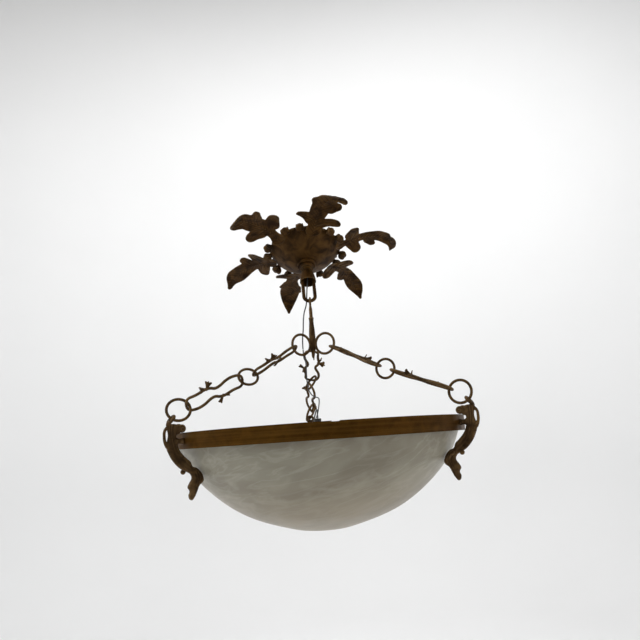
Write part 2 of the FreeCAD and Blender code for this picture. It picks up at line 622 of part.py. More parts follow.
def alabaster_bowl():
    """Turned stone bowl: rounded body under the band's ledge, and a thick lip that sits on the ledge."""
    outer, outer_start, outer_end = bowl_edge(0)
    inner, inner_start, inner_end = bowl_edge(BOWL_WALL)
    corners = [inner_start, V(BOWL_LIP_INNER_R, 0, LEDGE_TOP + BOWL_LIP_BEVEL),
               V(BOWL_LIP_INNER_R, 0, BOWL_RIM_TOP), V(BOWL_LIP_R, 0, BOWL_RIM_TOP),
               V(BOWL_LIP_R, 0, LEDGE_TOP), V(BOWL_SIDE_R, 0, LEDGE_TOP), outer_start]
    edges = [Part.LineSegment(a, b).toShape() for a, b in zip(corners, corners[1:])]
    edges += [outer, Part.LineSegment(outer_end, inner_end).toShape(), inner]
    bowl = Part.Face(Part.Wire(Part.__sortEdges__(edges))).revolve(V(0, 0, 0), V(0, 0, 1), 360)
    notch_width = SPIDER_WIDTH + 2 * SEAT_GAP
    notch_depth = SPIDER_THICK + SCREW_HEAD_HEIGHT - BOWL_LIP_GAP + SEAT_GAP
    notch = Part.makeBox(notch_depth, notch_width, BOWL_RIM_TOP - LEDGE_TOP,
                         V(BOWL_LIP_R - notch_depth, -notch_width / 2, LEDGE_TOP))
    return bowl.cut(Part.makeCompound([turned(notch, azimuth) for _, azimuth in SIDES]))


def radial_pin(radius, start, end):
    """Cylinder along +X at the arm screws' level."""
    return Part.makeCylinder(radius, end - start, V(start, 0, ARM_SCREW_LEVEL), V(1, 0, 0))


def rim_band():
    """Hoop with an inner ledge, a seam notch in its top edge and three screw holes."""
    band = revolved([(BAND_R, 0), (BAND_R, -BAND_HEIGHT), (LEDGE_INNER_R, -BAND_HEIGHT),
                     (LEDGE_INNER_R, LEDGE_TOP), (BAND_INNER_R, LEDGE_TOP), (BAND_INNER_R, 0)])
    seam = Part.makeBox(2 * BAND_WALL, SEAM_WIDTH, SEAM_DEPTH,
                        V(BAND_INNER_R - BAND_WALL / 2, -SEAM_WIDTH / 2, -SEAM_DEPTH))
    hole = radial_pin(SCREW_R, BAND_INNER_R - BAND_WALL, BAND_R + BAND_WALL)
    return band.cut(Part.makeCompound([turned(seam, SEAM_AZIMUTH)]
                                      + [turned(hole, azimuth) for _, azimuth in SIDES]))


def bowl_clearance():
    """The bowl's outside grown by the seat gap, which the arms are cut back to."""
    outer, start, end = bowl_edge(-SEAT_GAP)
    top = V(0, 0, start.z)
    edges = [outer, Part.LineSegment(end, top).toShape(), Part.LineSegment(top, start).toShape()]
    return Part.Face(Part.Wire(edges)).revolve(V(0, 0, 0), V(0, 0, 1), 360)


def arm_eye():
    """Eye at the arm's top, leaning so that the end ring bears in it."""
    eye_r = EYE_HOLE_R + EYE_WIRE_R
    bearing = math.radians(EYE_ANGLE)
    towards = V(math.cos(bearing), 0, math.sin(bearing))
    reach = BIG_RING_R - BIG_RING_WIRE_R - EYE_WIRE_R - RUN_GAP + eye_r
    centre = V(END_RING[0], 0, END_RING[1]) + towards * reach
    return Part.makeTorus(eye_r, EYE_WIRE_R, centre, V(-towards.z, 0, towards.x))


def bowl_arm():
    """One arm in the XZ plane, +X outwards: eye, scroll, column, boss, strand, ball and leaf ends."""
    scroll_r, scroll_z = outside_band([SCROLL_AT])[0]
    ball_r, ball_z = outside_band([BALL_AT])[0]
    strand, _ = rounded_path([(r, 0, z) for r, z in outside_band(STRAND)])
    leaf = extruded(outside_band(SIDE_LEAF), SIDE_LEAF_THICK)
    leaf.translate(V(0, ARM_THICK / 2 + SIDE_LEAF_PROUD, 0))
    arm = fused(
        extruded(outside_band(ARM_OUTLINE), ARM_THICK),
        Part.makeCylinder(SCROLL_R, ARM_THICK, V(scroll_r, -ARM_THICK / 2, scroll_z), V(0, 1, 0)),
        extruded(outside_band(SCROLL_BRIDGE), SCROLL_BRIDGE_THICK),
        radial_pin(ARM_BOSS_R, BAND_R, BAND_R + ARM_FACE),
        arm_eye(),
        tube_along(strand, STRAND_WIRE_R),
        Part.makeSphere(BALL_R, V(ball_r, 0, ball_z)),
        leaf)
    tap = radial_pin(SCREW_R, SCREW_START, SCREW_START + SCREW_REACH)
    return arm.cut(bowl_clearance()).cut(tap)


def rim_screws():
    """Three screws from inside the band through the spider's tabs and the band into the arms."""
    screw = fused(radial_pin(SCREW_R, SCREW_START, SCREW_START + SCREW_REACH),
                  radial_pin(SCREW_HEAD_R, SCREW_START - SCREW_HEAD_HEIGHT, SCREW_START))
    return Part.makeCompound([turned(screw, azimuth) for _, azimuth in SIDES])


# ---------------------------------------------------------------- lamp fitting
def lamp_spider():
    """Flat hub disc with three strips that lie on the bowl's rim and turn down inside the band."""
    disc = Part.makeCylinder(SPIDER_HUB_R, SPIDER_THICK, V(0, 0, BOWL_RIM_TOP))
    strip = Part.makeBox(BAND_INNER_R, SPIDER_WIDTH, SPIDER_THICK, V(0, -SPIDER_WIDTH / 2, BOWL_RIM_TOP))
    tab_bottom = LEDGE_TOP + SEAT_GAP
    tab = Part.makeBox(SPIDER_THICK, SPIDER_WIDTH, BOWL_RIM_TOP - tab_bottom,
                       V(SCREW_START, -SPIDER_WIDTH / 2, tab_bottom))
    inside = Part.makeCylinder(BAND_INNER_R, BAND_HEIGHT, V(0, 0, -BAND_HEIGHT))
    arm = fused(strip, tab).common(inside).cut(radial_pin(SCREW_R, BOWL_LIP_INNER_R, BAND_R))
    arms = [turned(arm, azimuth) for _, azimuth in SIDES]
    return fused(disc, *arms).cut(Part.makeCylinder(TUBE_R, SPIDER_THICK, V(0, 0, BOWL_RIM_TOP)))


def lamp_hub():
    """Hollow cup under the spider that carries the three lampholders."""
    bottom = BOWL_RIM_TOP - HUB_DEPTH
    cup = Part.makeCylinder(HUB_R, HUB_DEPTH, V(0, 0, bottom))
    hollow = Part.makeCylinder(HUB_R - HUB_WALL, HUB_DEPTH - HUB_WALL, V(0, 0, bottom + HUB_WALL))
    holes = [holder_placed(Part.makeCylinder(TUBE_R, 2 * HUB_R, V(-HUB_R, 0, 0), V(1, 0, 0)), k)
             for k in range(len(HOLDER_AZIMUTHS))]
    return cup.cut(hollow).cut(Part.makeCompound(holes))


def holder_placed(shape, index):
    """Lay a shape made along +X from its seat on the hub at one lampholder's place."""
    placed = shape.copy()
    placed.rotate(V(0, 0, 0), V(0, 1, 0), HOLDER_DROOP)
    placed.translate(V(HUB_R, 0, HOLDER_LEVEL))
    return turned(placed, HOLDER_AZIMUTHS[index])


def lampholder(index):
    """Skirted holder, seated on the hub: threaded stub through the hub's wall, base and open skirt."""
    reach, length = HOLDER_STUB
    stub = Part.makeCylinder(TUBE_R - SEAT_GAP / 2, length, V(-reach, 0, 0), V(1, 0, 0))
    body = Part.makeCylinder(HOLDER_R, HOLDER_LENGTH + HOLDER_R, V(-HOLDER_R, 0, 0), V(1, 0, 0))
    socket = Part.makeCylinder(HOLDER_BORE_R, HOLDER_LENGTH - HOLDER_BASE, V(HOLDER_BASE, 0, 0), V(1, 0, 0))
    hub = Part.makeCylinder(HUB_R, 3 * HUB_DEPTH, V(0, 0, -2 * HUB_DEPTH))
    seated = holder_placed(body, index).cut(hub)
    return fused(seated, holder_placed(stub, index)).cut(holder_placed(socket, index))


def bulb_cap():
    pip_r, pip_height = CAP_PIP
    pip = Part.makeCylinder(pip_r, pip_height, V(HOLDER_BASE, 0, 0), V(1, 0, 0))
    shell = Part.makeCylinder(CAP_R, CAP_LENGTH - pip_height, V(HOLDER_BASE + pip_height, 0, 0), V(1, 0, 0))
    return fused(pip, shell)


def bulb_glass():
    """Golf-ball bulb: a flared neck on the cap and a round globe."""
    start = HOLDER_BASE + CAP_LENGTH
    neck = Part.makeCone(CAP_R, BULB_SHOULDER_R, BULB_NECK, V(start, 0, 0), V(1, 0, 0))
    globe = Part.makeSphere(BULB_R, V(start + BULB_LENGTH - BULB_R, 0, 0))
    ahead = Part.makeBox(BULB_LENGTH, 2 * BULB_R, 2 * BULB_R, V(start + BULB_NECK / 2, -BULB_R, -BULB_R))
    return fused(neck, globe.common(ahead))


def cord_grip():
    """Bush in the spider's centre hole that the flex goes through."""
    below = BOWL_RIM_TOP - GRIP_SHANK
    bush = fused(Part.makeCylinder(GRIP_R, GRIP_HEIGHT, V(0, 0, 0)),
                 Part.makeCylinder(TUBE_R - SEAT_GAP / 2, -below, V(0, 0, below)))
    return bush.cut(Part.makeCylinder(FLEX_R + FLEX_CLEARANCE, GRIP_HEIGHT - below, V(0, 0, below)))


# ---------------------------------------------------------------- flex
def flex_pieces():
    """The flex in its three runs: canopy to hang point, beside the stem, and along the rear chain."""
    entry = STRAP_TOP + BLOCK_ENTRY
    canopy_points = [(0, BLOCK_START + BLOCK_ENTRY_DEPTH, entry), (0, 0, entry)] + list(TUBE_FLEX_PATH)
    canopy, radii = rounded_path(canopy_points)
    report("flex_canopy", canopy, radii)
    last, before = (on_plumb_axis(TUBE_FLEX_PATH[k]) for k in (-1, -2))
    heading = (last - before).normalize()
    stem_start = last + heading * FLEX_JOINT_GAP
    stem_points = [stem_start, stem_start + heading * STEM_FLEX_LEAD] + list(STEM_FLEX_PATH) + [STEM_FLEX_END]
    stem_wire, radii = rounded_path(stem_points)
    report("flex_stem", stem_wire, radii)
    bowl_start = V(*STEM_FLEX_END) - V(0, 0, FLEX_JOINT_GAP)
    bowl_end = V(0, 0, GRIP_HEIGHT - GRIP_FLEX_DEPTH)
    bowl_wire, radii = rounded_path([bowl_start] + list(BOWL_FLEX_PATH) + [bowl_end])
    report("flex_bowl", bowl_wire, radii)
    return {
        "flex_canopy": in_canopy(tube_along(canopy, FLEX_R)),
        "flex_stem": in_bowl(tube_along(stem_wire, FLEX_R)),
        "flex_bowl": in_bowl(tube_along(bowl_wire, FLEX_R)),
    }


def on_plumb_axis(point):
    """A point given on the canopy's axis, as heights from the rim plane on the plumb axis."""
    turn = FreeCAD.Rotation(V(1, 0, 0), -CANOPY_TILT)
    return turn.multVec(V(*point)) + V(0, 0, HANG_DROP)


def report(name, wire, radii):
    volume = tube_along(wire, FLEX_R).Volume
    print("%s length %.1f mm, volume share %.4f, radii %s" % (
        name, wire.Length, volume / (math.pi * FLEX_R ** 2 * wire.Length),
        " ".join("%.1f" % radius for radius in radii)))


# ---------------------------------------------------------------- assembly
def all_pieces():
    """Every node and its placed solid."""
    pieces = {
        "canopy_dome": in_canopy(canopy_dome()),
        "ceiling_strap": in_canopy(ceiling_strap()),
        "threaded_tube": in_canopy(threaded_tube()),
        "tube_nuts": in_canopy(tube_nuts()),
        "terminal_block": in_canopy(terminal_block()),
        "canopy_collar": in_canopy(canopy_collar()),
        "loop_bell": in_canopy(loop_bell()),
        "drop_stem": in_bowl(drop_stem()),
        "rim_band": in_bowl(rim_band()),
        "rim_screws": in_bowl(rim_screws()),
        "alabaster_bowl": in_bowl(alabaster_bowl()),
        "lamp_spider": in_bowl(lamp_spider()),
        "lamp_hub": in_bowl(lamp_hub()),
        "cord_grip": in_bowl(cord_grip()),
    }
    leaf = canopy_leaf()
    for name, azimuth in zip(LEAF_NAMES, LEAF_AZIMUTHS):
        pieces["canopy_leaf_" + name] = in_canopy(turned(leaf, azimuth))
    for name, shape in chain_pieces().items():
        pieces[name] = in_bowl(shape)
    arm = bowl_arm()
    for side, azimuth in SIDES:
        pieces["bowl_arm_" + side] = in_bowl(turned(arm, azimuth))
    for index in range(len(HOLDER_AZIMUTHS)):
        suffix = "_%d" % (index + 1)
        pieces["lampholder" + suffix] = in_bowl(lampholder(index))
        pieces["bulb_cap" + suffix] = in_bowl(holder_placed(bulb_cap(), index))
        pieces["bulb_glass" + suffix] = in_bowl(holder_placed(bulb_glass(), index))
    pieces.update(flex_pieces())
    return pieces


def main():
    os.makedirs("parts", exist_ok=True)
    for name, shape in all_pieces().items():
        if not shape.isValid():
            print("not valid:", name)
        shape.exportStep(os.path.join("parts", name + ".step"))
        print("%-22s solids %d volume %10.1f" % (name, len(shape.Solids), shape.Volume))
    print("hang point z %.2f, rim plane z %.2f, hook offset %.2f" % (HANG_Z, RIM_Z, HOOK_OFFSET))


main()
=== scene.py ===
"""Alabaster bowl pendant: the finished look of every piece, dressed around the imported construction.

Everything is in metres, +Z up, with the origin at the front hook hole of the ceiling strap.  The canopy
leans, so its pieces are shaped upright on its own axis and then laid over; the chains, the hoop and the
bowl hang plumb and are shaped from the plane of the hoop's top edge.
"""
import json
import logging
import math
from dataclasses import dataclass, field
from enum import Enum

import bpy
import numpy as np
from mathutils import Matrix, Vector


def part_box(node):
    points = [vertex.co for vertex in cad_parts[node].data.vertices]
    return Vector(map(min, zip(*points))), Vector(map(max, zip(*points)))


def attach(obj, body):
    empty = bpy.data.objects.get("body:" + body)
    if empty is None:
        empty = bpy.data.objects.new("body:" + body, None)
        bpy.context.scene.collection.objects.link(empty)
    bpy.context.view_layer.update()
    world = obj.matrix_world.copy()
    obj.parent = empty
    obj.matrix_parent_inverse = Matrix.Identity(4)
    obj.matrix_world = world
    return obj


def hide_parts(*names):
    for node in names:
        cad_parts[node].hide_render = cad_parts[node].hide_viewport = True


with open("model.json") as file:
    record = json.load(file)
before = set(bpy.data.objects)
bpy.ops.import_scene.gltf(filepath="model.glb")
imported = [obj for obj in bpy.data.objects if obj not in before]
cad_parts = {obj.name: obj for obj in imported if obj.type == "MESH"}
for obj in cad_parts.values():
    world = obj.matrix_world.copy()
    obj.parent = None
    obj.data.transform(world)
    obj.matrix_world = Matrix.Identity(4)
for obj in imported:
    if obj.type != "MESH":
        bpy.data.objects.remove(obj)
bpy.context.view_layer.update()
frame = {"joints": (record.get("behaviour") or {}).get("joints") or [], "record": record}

LOG = logging.getLogger("pendant")
SIDES = {"left": 210.0, "right": 330.0, "rear": 90.0}      # chain azimuths, degrees
HOOK_AXIS = frame["record"]["mounts"][0]["axis"]
CANOPY_TILT = math.atan2(HOOK_AXIS[1], HOOK_AXIS[2])
JOINTS = {joint["name"]: joint for joint in frame["joints"]}
HANG_POINT = Vector(JOINTS["stem_swing"]["pos_m"])
RIM_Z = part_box("rim_band")[1][2]
BAND_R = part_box("rim_band")[1][0]
CANOPY_PLACE = Matrix.Translation(HANG_POINT) @ Matrix.Rotation(-CANOPY_TILT, 4, "X")
BOWL_PLACE = Matrix.Translation((0.0, 0.0, RIM_Z))

MM = 0.001

Point2 = tuple[float, float]
Point3 = tuple[float, float, float]
Obj = bpy.types.Object
Socket = bpy.types.NodeSocket
Tree = bpy.types.NodeTree
Material = bpy.types.Material


# ------------------------------------------------------------------ mesh helpers
def new_object(name: str, data: bpy.types.ID) -> Obj:
    """Put new data into the scene as an object."""
    obj = bpy.data.objects.new(name, data)
    bpy.context.collection.objects.link(obj)
    return obj


def select_only(obj: Obj) -> None:
    """Make one object the whole selection and the active one."""
    bpy.ops.object.select_all(action="DESELECT")
    obj.select_set(True)
    bpy.context.view_layer.objects.active = obj


def apply_modifiers(obj: Obj) -> None:
    """Apply every modifier of an object, in order."""
    select_only(obj)
    for modifier in list(obj.modifiers):
        bpy.ops.object.modifier_apply(modifier=modifier.name)


def join(name: str, pieces: list[Obj]) -> Obj:
    """Join several meshes into one object.

    Args:
        name: Name of the joined object.
        pieces: Mesh objects, the first of which is kept.

    Returns:
        The joined object.
    """
    select_only(pieces[0])
    for piece in pieces[1:]:
        piece.select_set(True)
    bpy.ops.object.join()
    pieces[0].name = name
    return pieces[0]


def twin(obj: Obj, name: str) -> Obj:
    """Copy an object with a mesh of its own."""
    copy = obj.copy()
    copy.data = obj.data.copy()
    copy.name = name
    bpy.context.collection.objects.link(copy)
    return copy


def place(obj: Obj, matrix: Matrix) -> Obj:
    """Move the mesh of an object, whose origin stays at the frame's."""
    obj.data.transform(matrix)
    obj.data.update()
    return obj


def shade(obj: Obj, degrees: float = 40.0) -> None:
    """Shade smooth, with creases sharper than an angle kept."""
    select_only(obj)
    bpy.ops.object.shade_smooth_by_angle(angle=math.radians(degrees))


def tidy_normals(obj: Obj) -> None:
    """Merge doubles and turn every face outwards."""
    select_only(obj)
    bpy.ops.object.mode_set(mode="EDIT")
    bpy.ops.mesh.select_all(action="SELECT")
    bpy.ops.mesh.remove_doubles(threshold=1e-6)
    bpy.ops.mesh.normals_make_consistent(inside=False)
    bpy.ops.object.mode_set(mode="OBJECT")


def lathe(name: str, profile: list[Point2], steps: int) -> Obj:
    """Spin a closed or open profile of (radius, height) points about Z.

    Args:
        name: Name of the object.
        profile: Points in the order that they are drawn.
        steps: Number of steps round the axis.

    Returns:
        The turned object.
    """
    bpy.ops.object.select_all(action="DESELECT")
    bpy.ops.mesh.primitive_plane_add(size=0.001)
    obj = bpy.context.object
    obj.name = name
    bpy.ops.object.mode_set(mode="EDIT")
    bpy.ops.mesh.select_all(action="SELECT")
    bpy.ops.mesh.merge(type="CENTER")
    bpy.ops.transform.translate(value=(profile[0][0], 0.0, profile[0][1]))
    for (radius, height), (next_radius, next_height) in zip(profile, profile[1:]):
        step = (next_radius - radius, 0.0, next_height - height)
        bpy.ops.mesh.extrude_region_move(TRANSFORM_OT_translate={"value": step})
    bpy.ops.mesh.select_all(action="SELECT")
    bpy.ops.mesh.spin(steps=steps, angle=2 * math.pi, center=(0, 0, 0), axis=(0, 0, 1))
    bpy.ops.object.mode_set(mode="OBJECT")
    tidy_normals(obj)
    return obj


def curve_mesh(curve: bpy.types.Curve, name: str) -> Obj:
    """Turn curve data into a mesh object."""
    drawn = new_object(name + "_line", curve)
    bpy.context.view_layer.update()
    mesh = bpy.data.meshes.new_from_object(drawn.evaluated_get(bpy.context.evaluated_depsgraph_get()))
    bpy.data.objects.remove(drawn)
    mesh.name = name
    return new_object(name, mesh)


def new_curve(name: str, resolution: int, bevel: float, bevel_steps: int,
              dimensions: str = "3D") -> bpy.types.Curve:
    """Start curve data with a round bevel."""
    curve = bpy.data.curves.new(name, "CURVE")
    curve.dimensions = dimensions
    curve.resolution_u = resolution
    curve.bevel_depth = bevel
    curve.bevel_resolution = bevel_steps
    return curve


def control_spline(curve: bpy.types.Curve, points: list[tuple]) -> bpy.types.Spline:
    """Add one spline over control points of (x, y, z, weight), which pull it rather than carry it."""
    spline = curve.splines.new("NURBS")
    spline.points.add(len(points) - 1)
    for knot, point in zip(spline.points, points):
        knot.co = point
    spline.order_u = 3
    return spline


def smooth_spline(curve: bpy.types.Curve, points: list[Point3], closed: bool,
                  radii: list[float] | None = None) -> None:
    """Add a soft spline through points to curve data."""
    spline = curve.splines.new("BEZIER")
    spline.bezier_points.add(len(points) - 1)
    for index, (knot, point) in enumerate(zip(spline.bezier_points, points)):
        knot.co = point
        knot.handle_left_type = knot.handle_right_type = "AUTO"
        knot.radius = radii[index] if radii else 1.0
    spline.use_cyclic_u = closed


def wire(name: str, points: list[Point3], radius: float, closed: bool = False,
         radii: list[float] | None = None) -> Obj:
    """Round wire along a soft line.

    Args:
        name: Name of the object.
        points: Points that the wire's middle goes through.
        radius: Wire radius.
        closed: True for an endless wire.
        radii: Share of the radius at each point, for a taper.

    Returns:
        The wire as a mesh object.
    """
    curve = new_curve(name, 8, radius, 5)
    curve.use_fill_caps = not closed
    smooth_spline(curve, points, closed, radii)
    obj = curve_mesh(curve, name)
    tidy_normals(obj)
    return obj


def plate(name: str, outline: list[Point2], thickness: float, edge: float) -> Obj:
    """Flat plate with a soft outline and rounded edges, centred on the XY plane."""
    curve = new_curve(name, 6, edge, 2, "2D")
    curve.fill_mode = "BOTH"
    curve.extrude = thickness / 2 - edge
    curve.offset = -edge
    smooth_spline(curve, [(x, y, 0.0) for x, y in outline], True)
    obj = curve_mesh(curve, name)
    tidy_normals(obj)
    return obj


def ball(name: str, radius: float, at: Point3, stretch: Point3 = (1.0, 1.0, 1.0)) -> Obj:
    """Round bead, stretched along the axes, made from an icosphere."""
    bpy.ops.object.select_all(action="DESELECT")
    bpy.ops.mesh.primitive_ico_sphere_add(subdivisions=4, radius=radius)
    obj = bpy.context.object
    obj.name = name
    return place(obj, Matrix.Translation(at) @ Matrix.Diagonal((*stretch, 1.0)))


def hoop(name: str, radius: float, wire_radius: float, matrix: Matrix) -> Obj:
    """Round ring of wire, flat in XY before it is placed."""
    bpy.ops.object.select_all(action="DESELECT")
    bpy.ops.mesh.primitive_torus_add(major_radius=radius, minor_radius=wire_radius, major_segments=72,
                                     minor_segments=18)
    obj = bpy.context.object
    obj.name = name
    return place(obj, matrix)


def cast_together(obj: Obj, voxel: float, passes: int) -> None:
    """Melt overlapping meshes of an object into one skin and soften it, as a casting is."""
    remesh = obj.modifiers.new("skin", "REMESH")
    remesh.mode = "VOXEL"
    remesh.voxel_size = voxel
    soften = obj.modifiers.new("soften", "SMOOTH")
    soften.factor = 0.5
    soften.iterations = passes
    apply_modifiers(obj)


def read_points(obj: Obj) -> np.ndarray:
    """Vertex places of a mesh as an array."""
    flat = np.empty(len(obj.data.vertices) * 3)
    obj.data.vertices.foreach_get("co", flat)
    return flat.reshape(-1, 3)


def write_points(obj: Obj, points: np.ndarray) -> None:
    """Put an array of vertex places back into a mesh."""
    obj.data.vertices.foreach_set("co", points.ravel())
    obj.data.update()


def read_normals(obj: Obj) -> np.ndarray:
    """Vertex normals of a mesh as an array."""
    flat = np.empty(len(obj.data.vertices) * 3)
    obj.data.vertex_normals.foreach_get("vector", flat)
    return flat.reshape(-1, 3)


def mark_patina_and_groove_shade(obj: Obj, amounts: np.ndarray) -> None:
    """Note how deep each vertex lies in a groove, from 0 to 1, for the patina and a painted groove shade to
    darken it.
    """
    layer = obj.data.attributes.get("hollow") or obj.data.attributes.new("hollow", "FLOAT", "POINT")
    known = np.empty(len(obj.data.vertices), dtype=np.float32)
    layer.data.foreach_get("value", known)
    layer.data.foreach_set("value", np.maximum(known, amounts).astype(np.float32))


def line_distance(points: np.ndarray, line: list[Point2]) -> tuple[np.ndarray, np.ndarray]:
    """Distance of 2-D points from a broken line, and how far along it they lie, from 0 to 1."""
    best = np.full(len(points), 1e9)
    along = np.zeros(len(points))
    corners = [np.array(corner) for corner in line]
    total = len(corners) - 1
    for index, (start, end) in enumerate(zip(corners, corners[1:])):
        run = end - start
        share = np.clip((points - start) @ run / (run @ run), 0.0, 1.0)
        gap = np.linalg.norm(points - start - share[:, None] * run, axis=1)
        nearer = gap < best
        best = np.where(nearer, gap, best)
        along = np.where(nearer, (index + share) / total, along)
    return best, along


def engrave(obj: Obj, lines: list[list[Point2]], depth: float, width: float,
            plane: tuple[int, int] = (0, 1)) -> None:
    """Press soft grooves into both faces of a flat casting, shallower towards each line's end.

    Args:
        obj: The casting, flat in the plane.
        lines: Groove lines in the plane.
        depth: Groove depth; a negative depth raises a rib.
        width: Half width of a groove.
        plane: The two axes of the plane.
    """
    points = read_points(obj)
    normals = read_normals(obj)
    across = ({0, 1, 2} - set(plane)).pop()
    flat = points[:, plane]
    push = np.zeros(len(points))
    for line in lines:
        gap, along = line_distance(flat, line)
        push = np.maximum(push, np.exp(-(gap / width) ** 2) * (1.0 - 0.6 * along))
    points[:, across] -= depth * push * normals[:, across]
    write_points(obj, points)
    # sunk grooves are marked to be darkened by patina and painted groove shade
    if depth > 0:
        mark_patina_and_groove_shade(obj, push)


# ------------------------------------------------------------------ finishes
def new_group(name: str, inputs: dict[str, float | tuple], outputs: dict[str, str]) -> Tree:
    """Make an empty shader node group.

    Args:
        name: Name of the group.
        inputs: Input names with their default values, a number or a colour.
        outputs: Output names with their kinds, "Color" or "Float".

    Returns:
        The group, with its input and output nodes.
    """
    group = bpy.data.node_groups.new(name, "ShaderNodeTree")
    for label, value in inputs.items():
        kind = "NodeSocketFloat" if isinstance(value, float) else "NodeSocketColor"
        socket = group.interface.new_socket(name=label, in_out="INPUT", socket_type=kind)
        socket.default_value = value if isinstance(value, float) else (*value, 1.0)
    for label, kind in outputs.items():
        group.interface.new_socket(name=label, in_out="OUTPUT", socket_type="NodeSocket" + kind)
    group.nodes.new("NodeGroupInput")
    group.nodes.new("NodeGroupOutput")
    return group


class Wiring:
    """Short way to lay out the nodes of one tree."""

    def __init__(self, tree: Tree) -> None:
        """Start on a tree."""
        self.tree = tree

    def add(self, kind: str, settings: dict | None = None, **links: object) -> bpy.types.Node:
        """Add a node and feed its inputs.

        Args:
            kind: Node type without the ShaderNode prefix.
            settings: Properties to set on the node.
            **links: Input names, with underscores for spaces, and a socket or a plain value for each.

        Returns:
            The node.
        """
        node = self.tree.nodes.new("ShaderNode" + kind)
        for key, value in (settings or {}).items():
            setattr(node, key, value)
        for label, value in links.items():
            self.feed(node.inputs[label.replace("_", " ")], value)
        return node

    def feed(self, socket: Socket, value: object) -> None:
        """Link a socket to another, or set its plain value."""
        if isinstance(value, Socket):
            self.tree.links.new(value, socket)
        else:
            socket.default_value = value

    def noise(self, coordinates: object, scale: float, detail: float = 4.0,
              distortion: float = 0.0) -> Socket:
        """Noise value on some coordinates."""
        return self.add("TexNoise", None, Vector=coordinates, Scale=scale, Detail=detail,
                        Distortion=distortion).outputs["Fac"]

    def stretched(self, coordinates: object, grain: Point3,
                  turn: Point3 = (0.0, 0.0, 0.0)) -> Socket:
        """Coordinates turned and then shrunk by the grain's length along each axis."""
        return self.add("Mapping", {"vector_type": "TEXTURE"}, Vector=coordinates, Scale=grain,
                        Rotation=turn).outputs["Vector"]

    def ramp(self, value: object, low: float, high: float, start: float = 0.0,
             end: float = 1.0) -> Socket:
        """Map a value from a range to another, clamped."""
        node = self.add("MapRange", {"clamp": True}, Value=value)
        for label, number in (("From Min", low), ("From Max", high), ("To Min", start), ("To Max", end)):
            node.inputs[label].default_value = number
        return node.outputs["Result"]

    def blend(self, share: object, first: object, second: object) -> Socket:
        """Mix two colours by a share."""
        node = self.add("Mix", {"data_type": "RGBA"})
        self.feed(node.inputs["Factor"], share)
        for socket, value in ((node.inputs[6], first), (node.inputs[7], second)):
            self.feed(socket, (*value, 1.0) if isinstance(value, tuple) and len(value) == 3 else value)
        return node.outputs[2]

    def maths(self, operation: str, first: object, second: object = 0.0) -> Socket:
        """One step of arithmetic."""
        node = self.add("Math", {"operation": operation})
        self.feed(node.inputs[0], first)
        self.feed(node.inputs[1], second)
        return node.outputs[0]

    def times(self, first: object, second: object) -> Socket:
        """Product of two values."""
        return self.maths("MULTIPLY", first, second)


SKIN_OUTPUTS = {"Color": "Color", "Roughness": "Float", "Height": "Float"}


def patina_group() -> Tree:
    """Old bronze: blotchy brown patina, hollows darkened by patina and painted shade, rubbed high places
    and a fine cast skin.
    """
    group = new_group("bronze_patina",
                      {"Dark": (0.03, 0.018, 0.008), "Brown": (0.09, 0.055, 0.02),
                       "Rubbed": (0.22, 0.15, 0.07), "Rub": 0.5, "Grain": 90.0},
                      SKIN_OUTPUTS)
    wiring = Wiring(group)
    ins, outs = group.nodes["Group Input"], group.nodes["Group Output"]
    place_at = wiring.add("TexCoord").outputs["Object"]
    blotch = wiring.ramp(wiring.noise(place_at, 55.0, 6.0, 0.6), 0.36, 0.66)
    speck = wiring.noise(place_at, 420.0, 3.0)
    point = wiring.add("NewGeometry").outputs["Pointiness"]
    pressed = wiring.add("Attribute", {"attribute_name": "hollow"}).outputs["Fac"]
    # painted shade: concave places and pressed grooves go towards Dark, for the shade that falls in them as
    # well as the patina gathered there
    hollow = wiring.maths("MAXIMUM", wiring.ramp(point, 0.42, 0.5, 1.0, 0.0), pressed)
    crest = wiring.ramp(point, 0.515, 0.60)
    skin = wiring.blend(blotch, ins.outputs["Dark"], ins.outputs["Brown"])
    skin = wiring.blend(wiring.times(hollow, 0.85), skin, ins.outputs["Dark"])
    rubbed = wiring.times(wiring.times(crest, ins.outputs["Rub"]),
                          wiring.ramp(speck, 0.3, 0.7, 0.45, 1.0))
    grain = wiring.add("TexNoise", None, Vector=place_at, Detail=4.0)
    wiring.feed(grain.inputs["Scale"], ins.outputs["Grain"])
    wiring.feed(outs.inputs["Color"], wiring.blend(rubbed, skin, ins.outputs["Rubbed"]))
    wear = wiring.maths("ADD", blotch, crest)
    wiring.feed(outs.inputs["Roughness"], wiring.ramp(wear, 0.0, 1.6, 0.62, 0.40))
    relief = wiring.maths("ADD", grain.outputs["Fac"], wiring.times(speck, 0.35))
    wiring.feed(outs.inputs["Height"], relief)
    return group


def mottle_group() -> Tree:
    """Slight unevenness of a plain surface: tone, roughness and a fine skin."""
    group = new_group("plain_mottle",
                      {"Base": (0.5, 0.5, 0.5), "Worn": (0.6, 0.6, 0.6), "Scale": 60.0, "Contrast": 0.5},
                      SKIN_OUTPUTS)
    wiring = Wiring(group)
    ins, outs = group.nodes["Group Input"], group.nodes["Group Output"]
    place_at = wiring.add("TexCoord").outputs["Object"]
    coarse = wiring.add("TexNoise", None, Vector=place_at, Detail=5.0)
    wiring.feed(coarse.inputs["Scale"], ins.outputs["Scale"])
    fine = wiring.noise(place_at, 900.0, 2.0)
    share = wiring.times(wiring.ramp(coarse.outputs["Fac"], 0.35, 0.65), ins.outputs["Contrast"])
    wiring.feed(outs.inputs["Color"], wiring.blend(share, ins.outputs["Base"], ins.outputs["Worn"]))
    wiring.feed(outs.inputs["Roughness"], wiring.ramp(coarse.outputs["Fac"], 0.3, 0.7, 0.0, 0.18))
    wiring.feed(outs.inputs["Height"], fine)
    return group


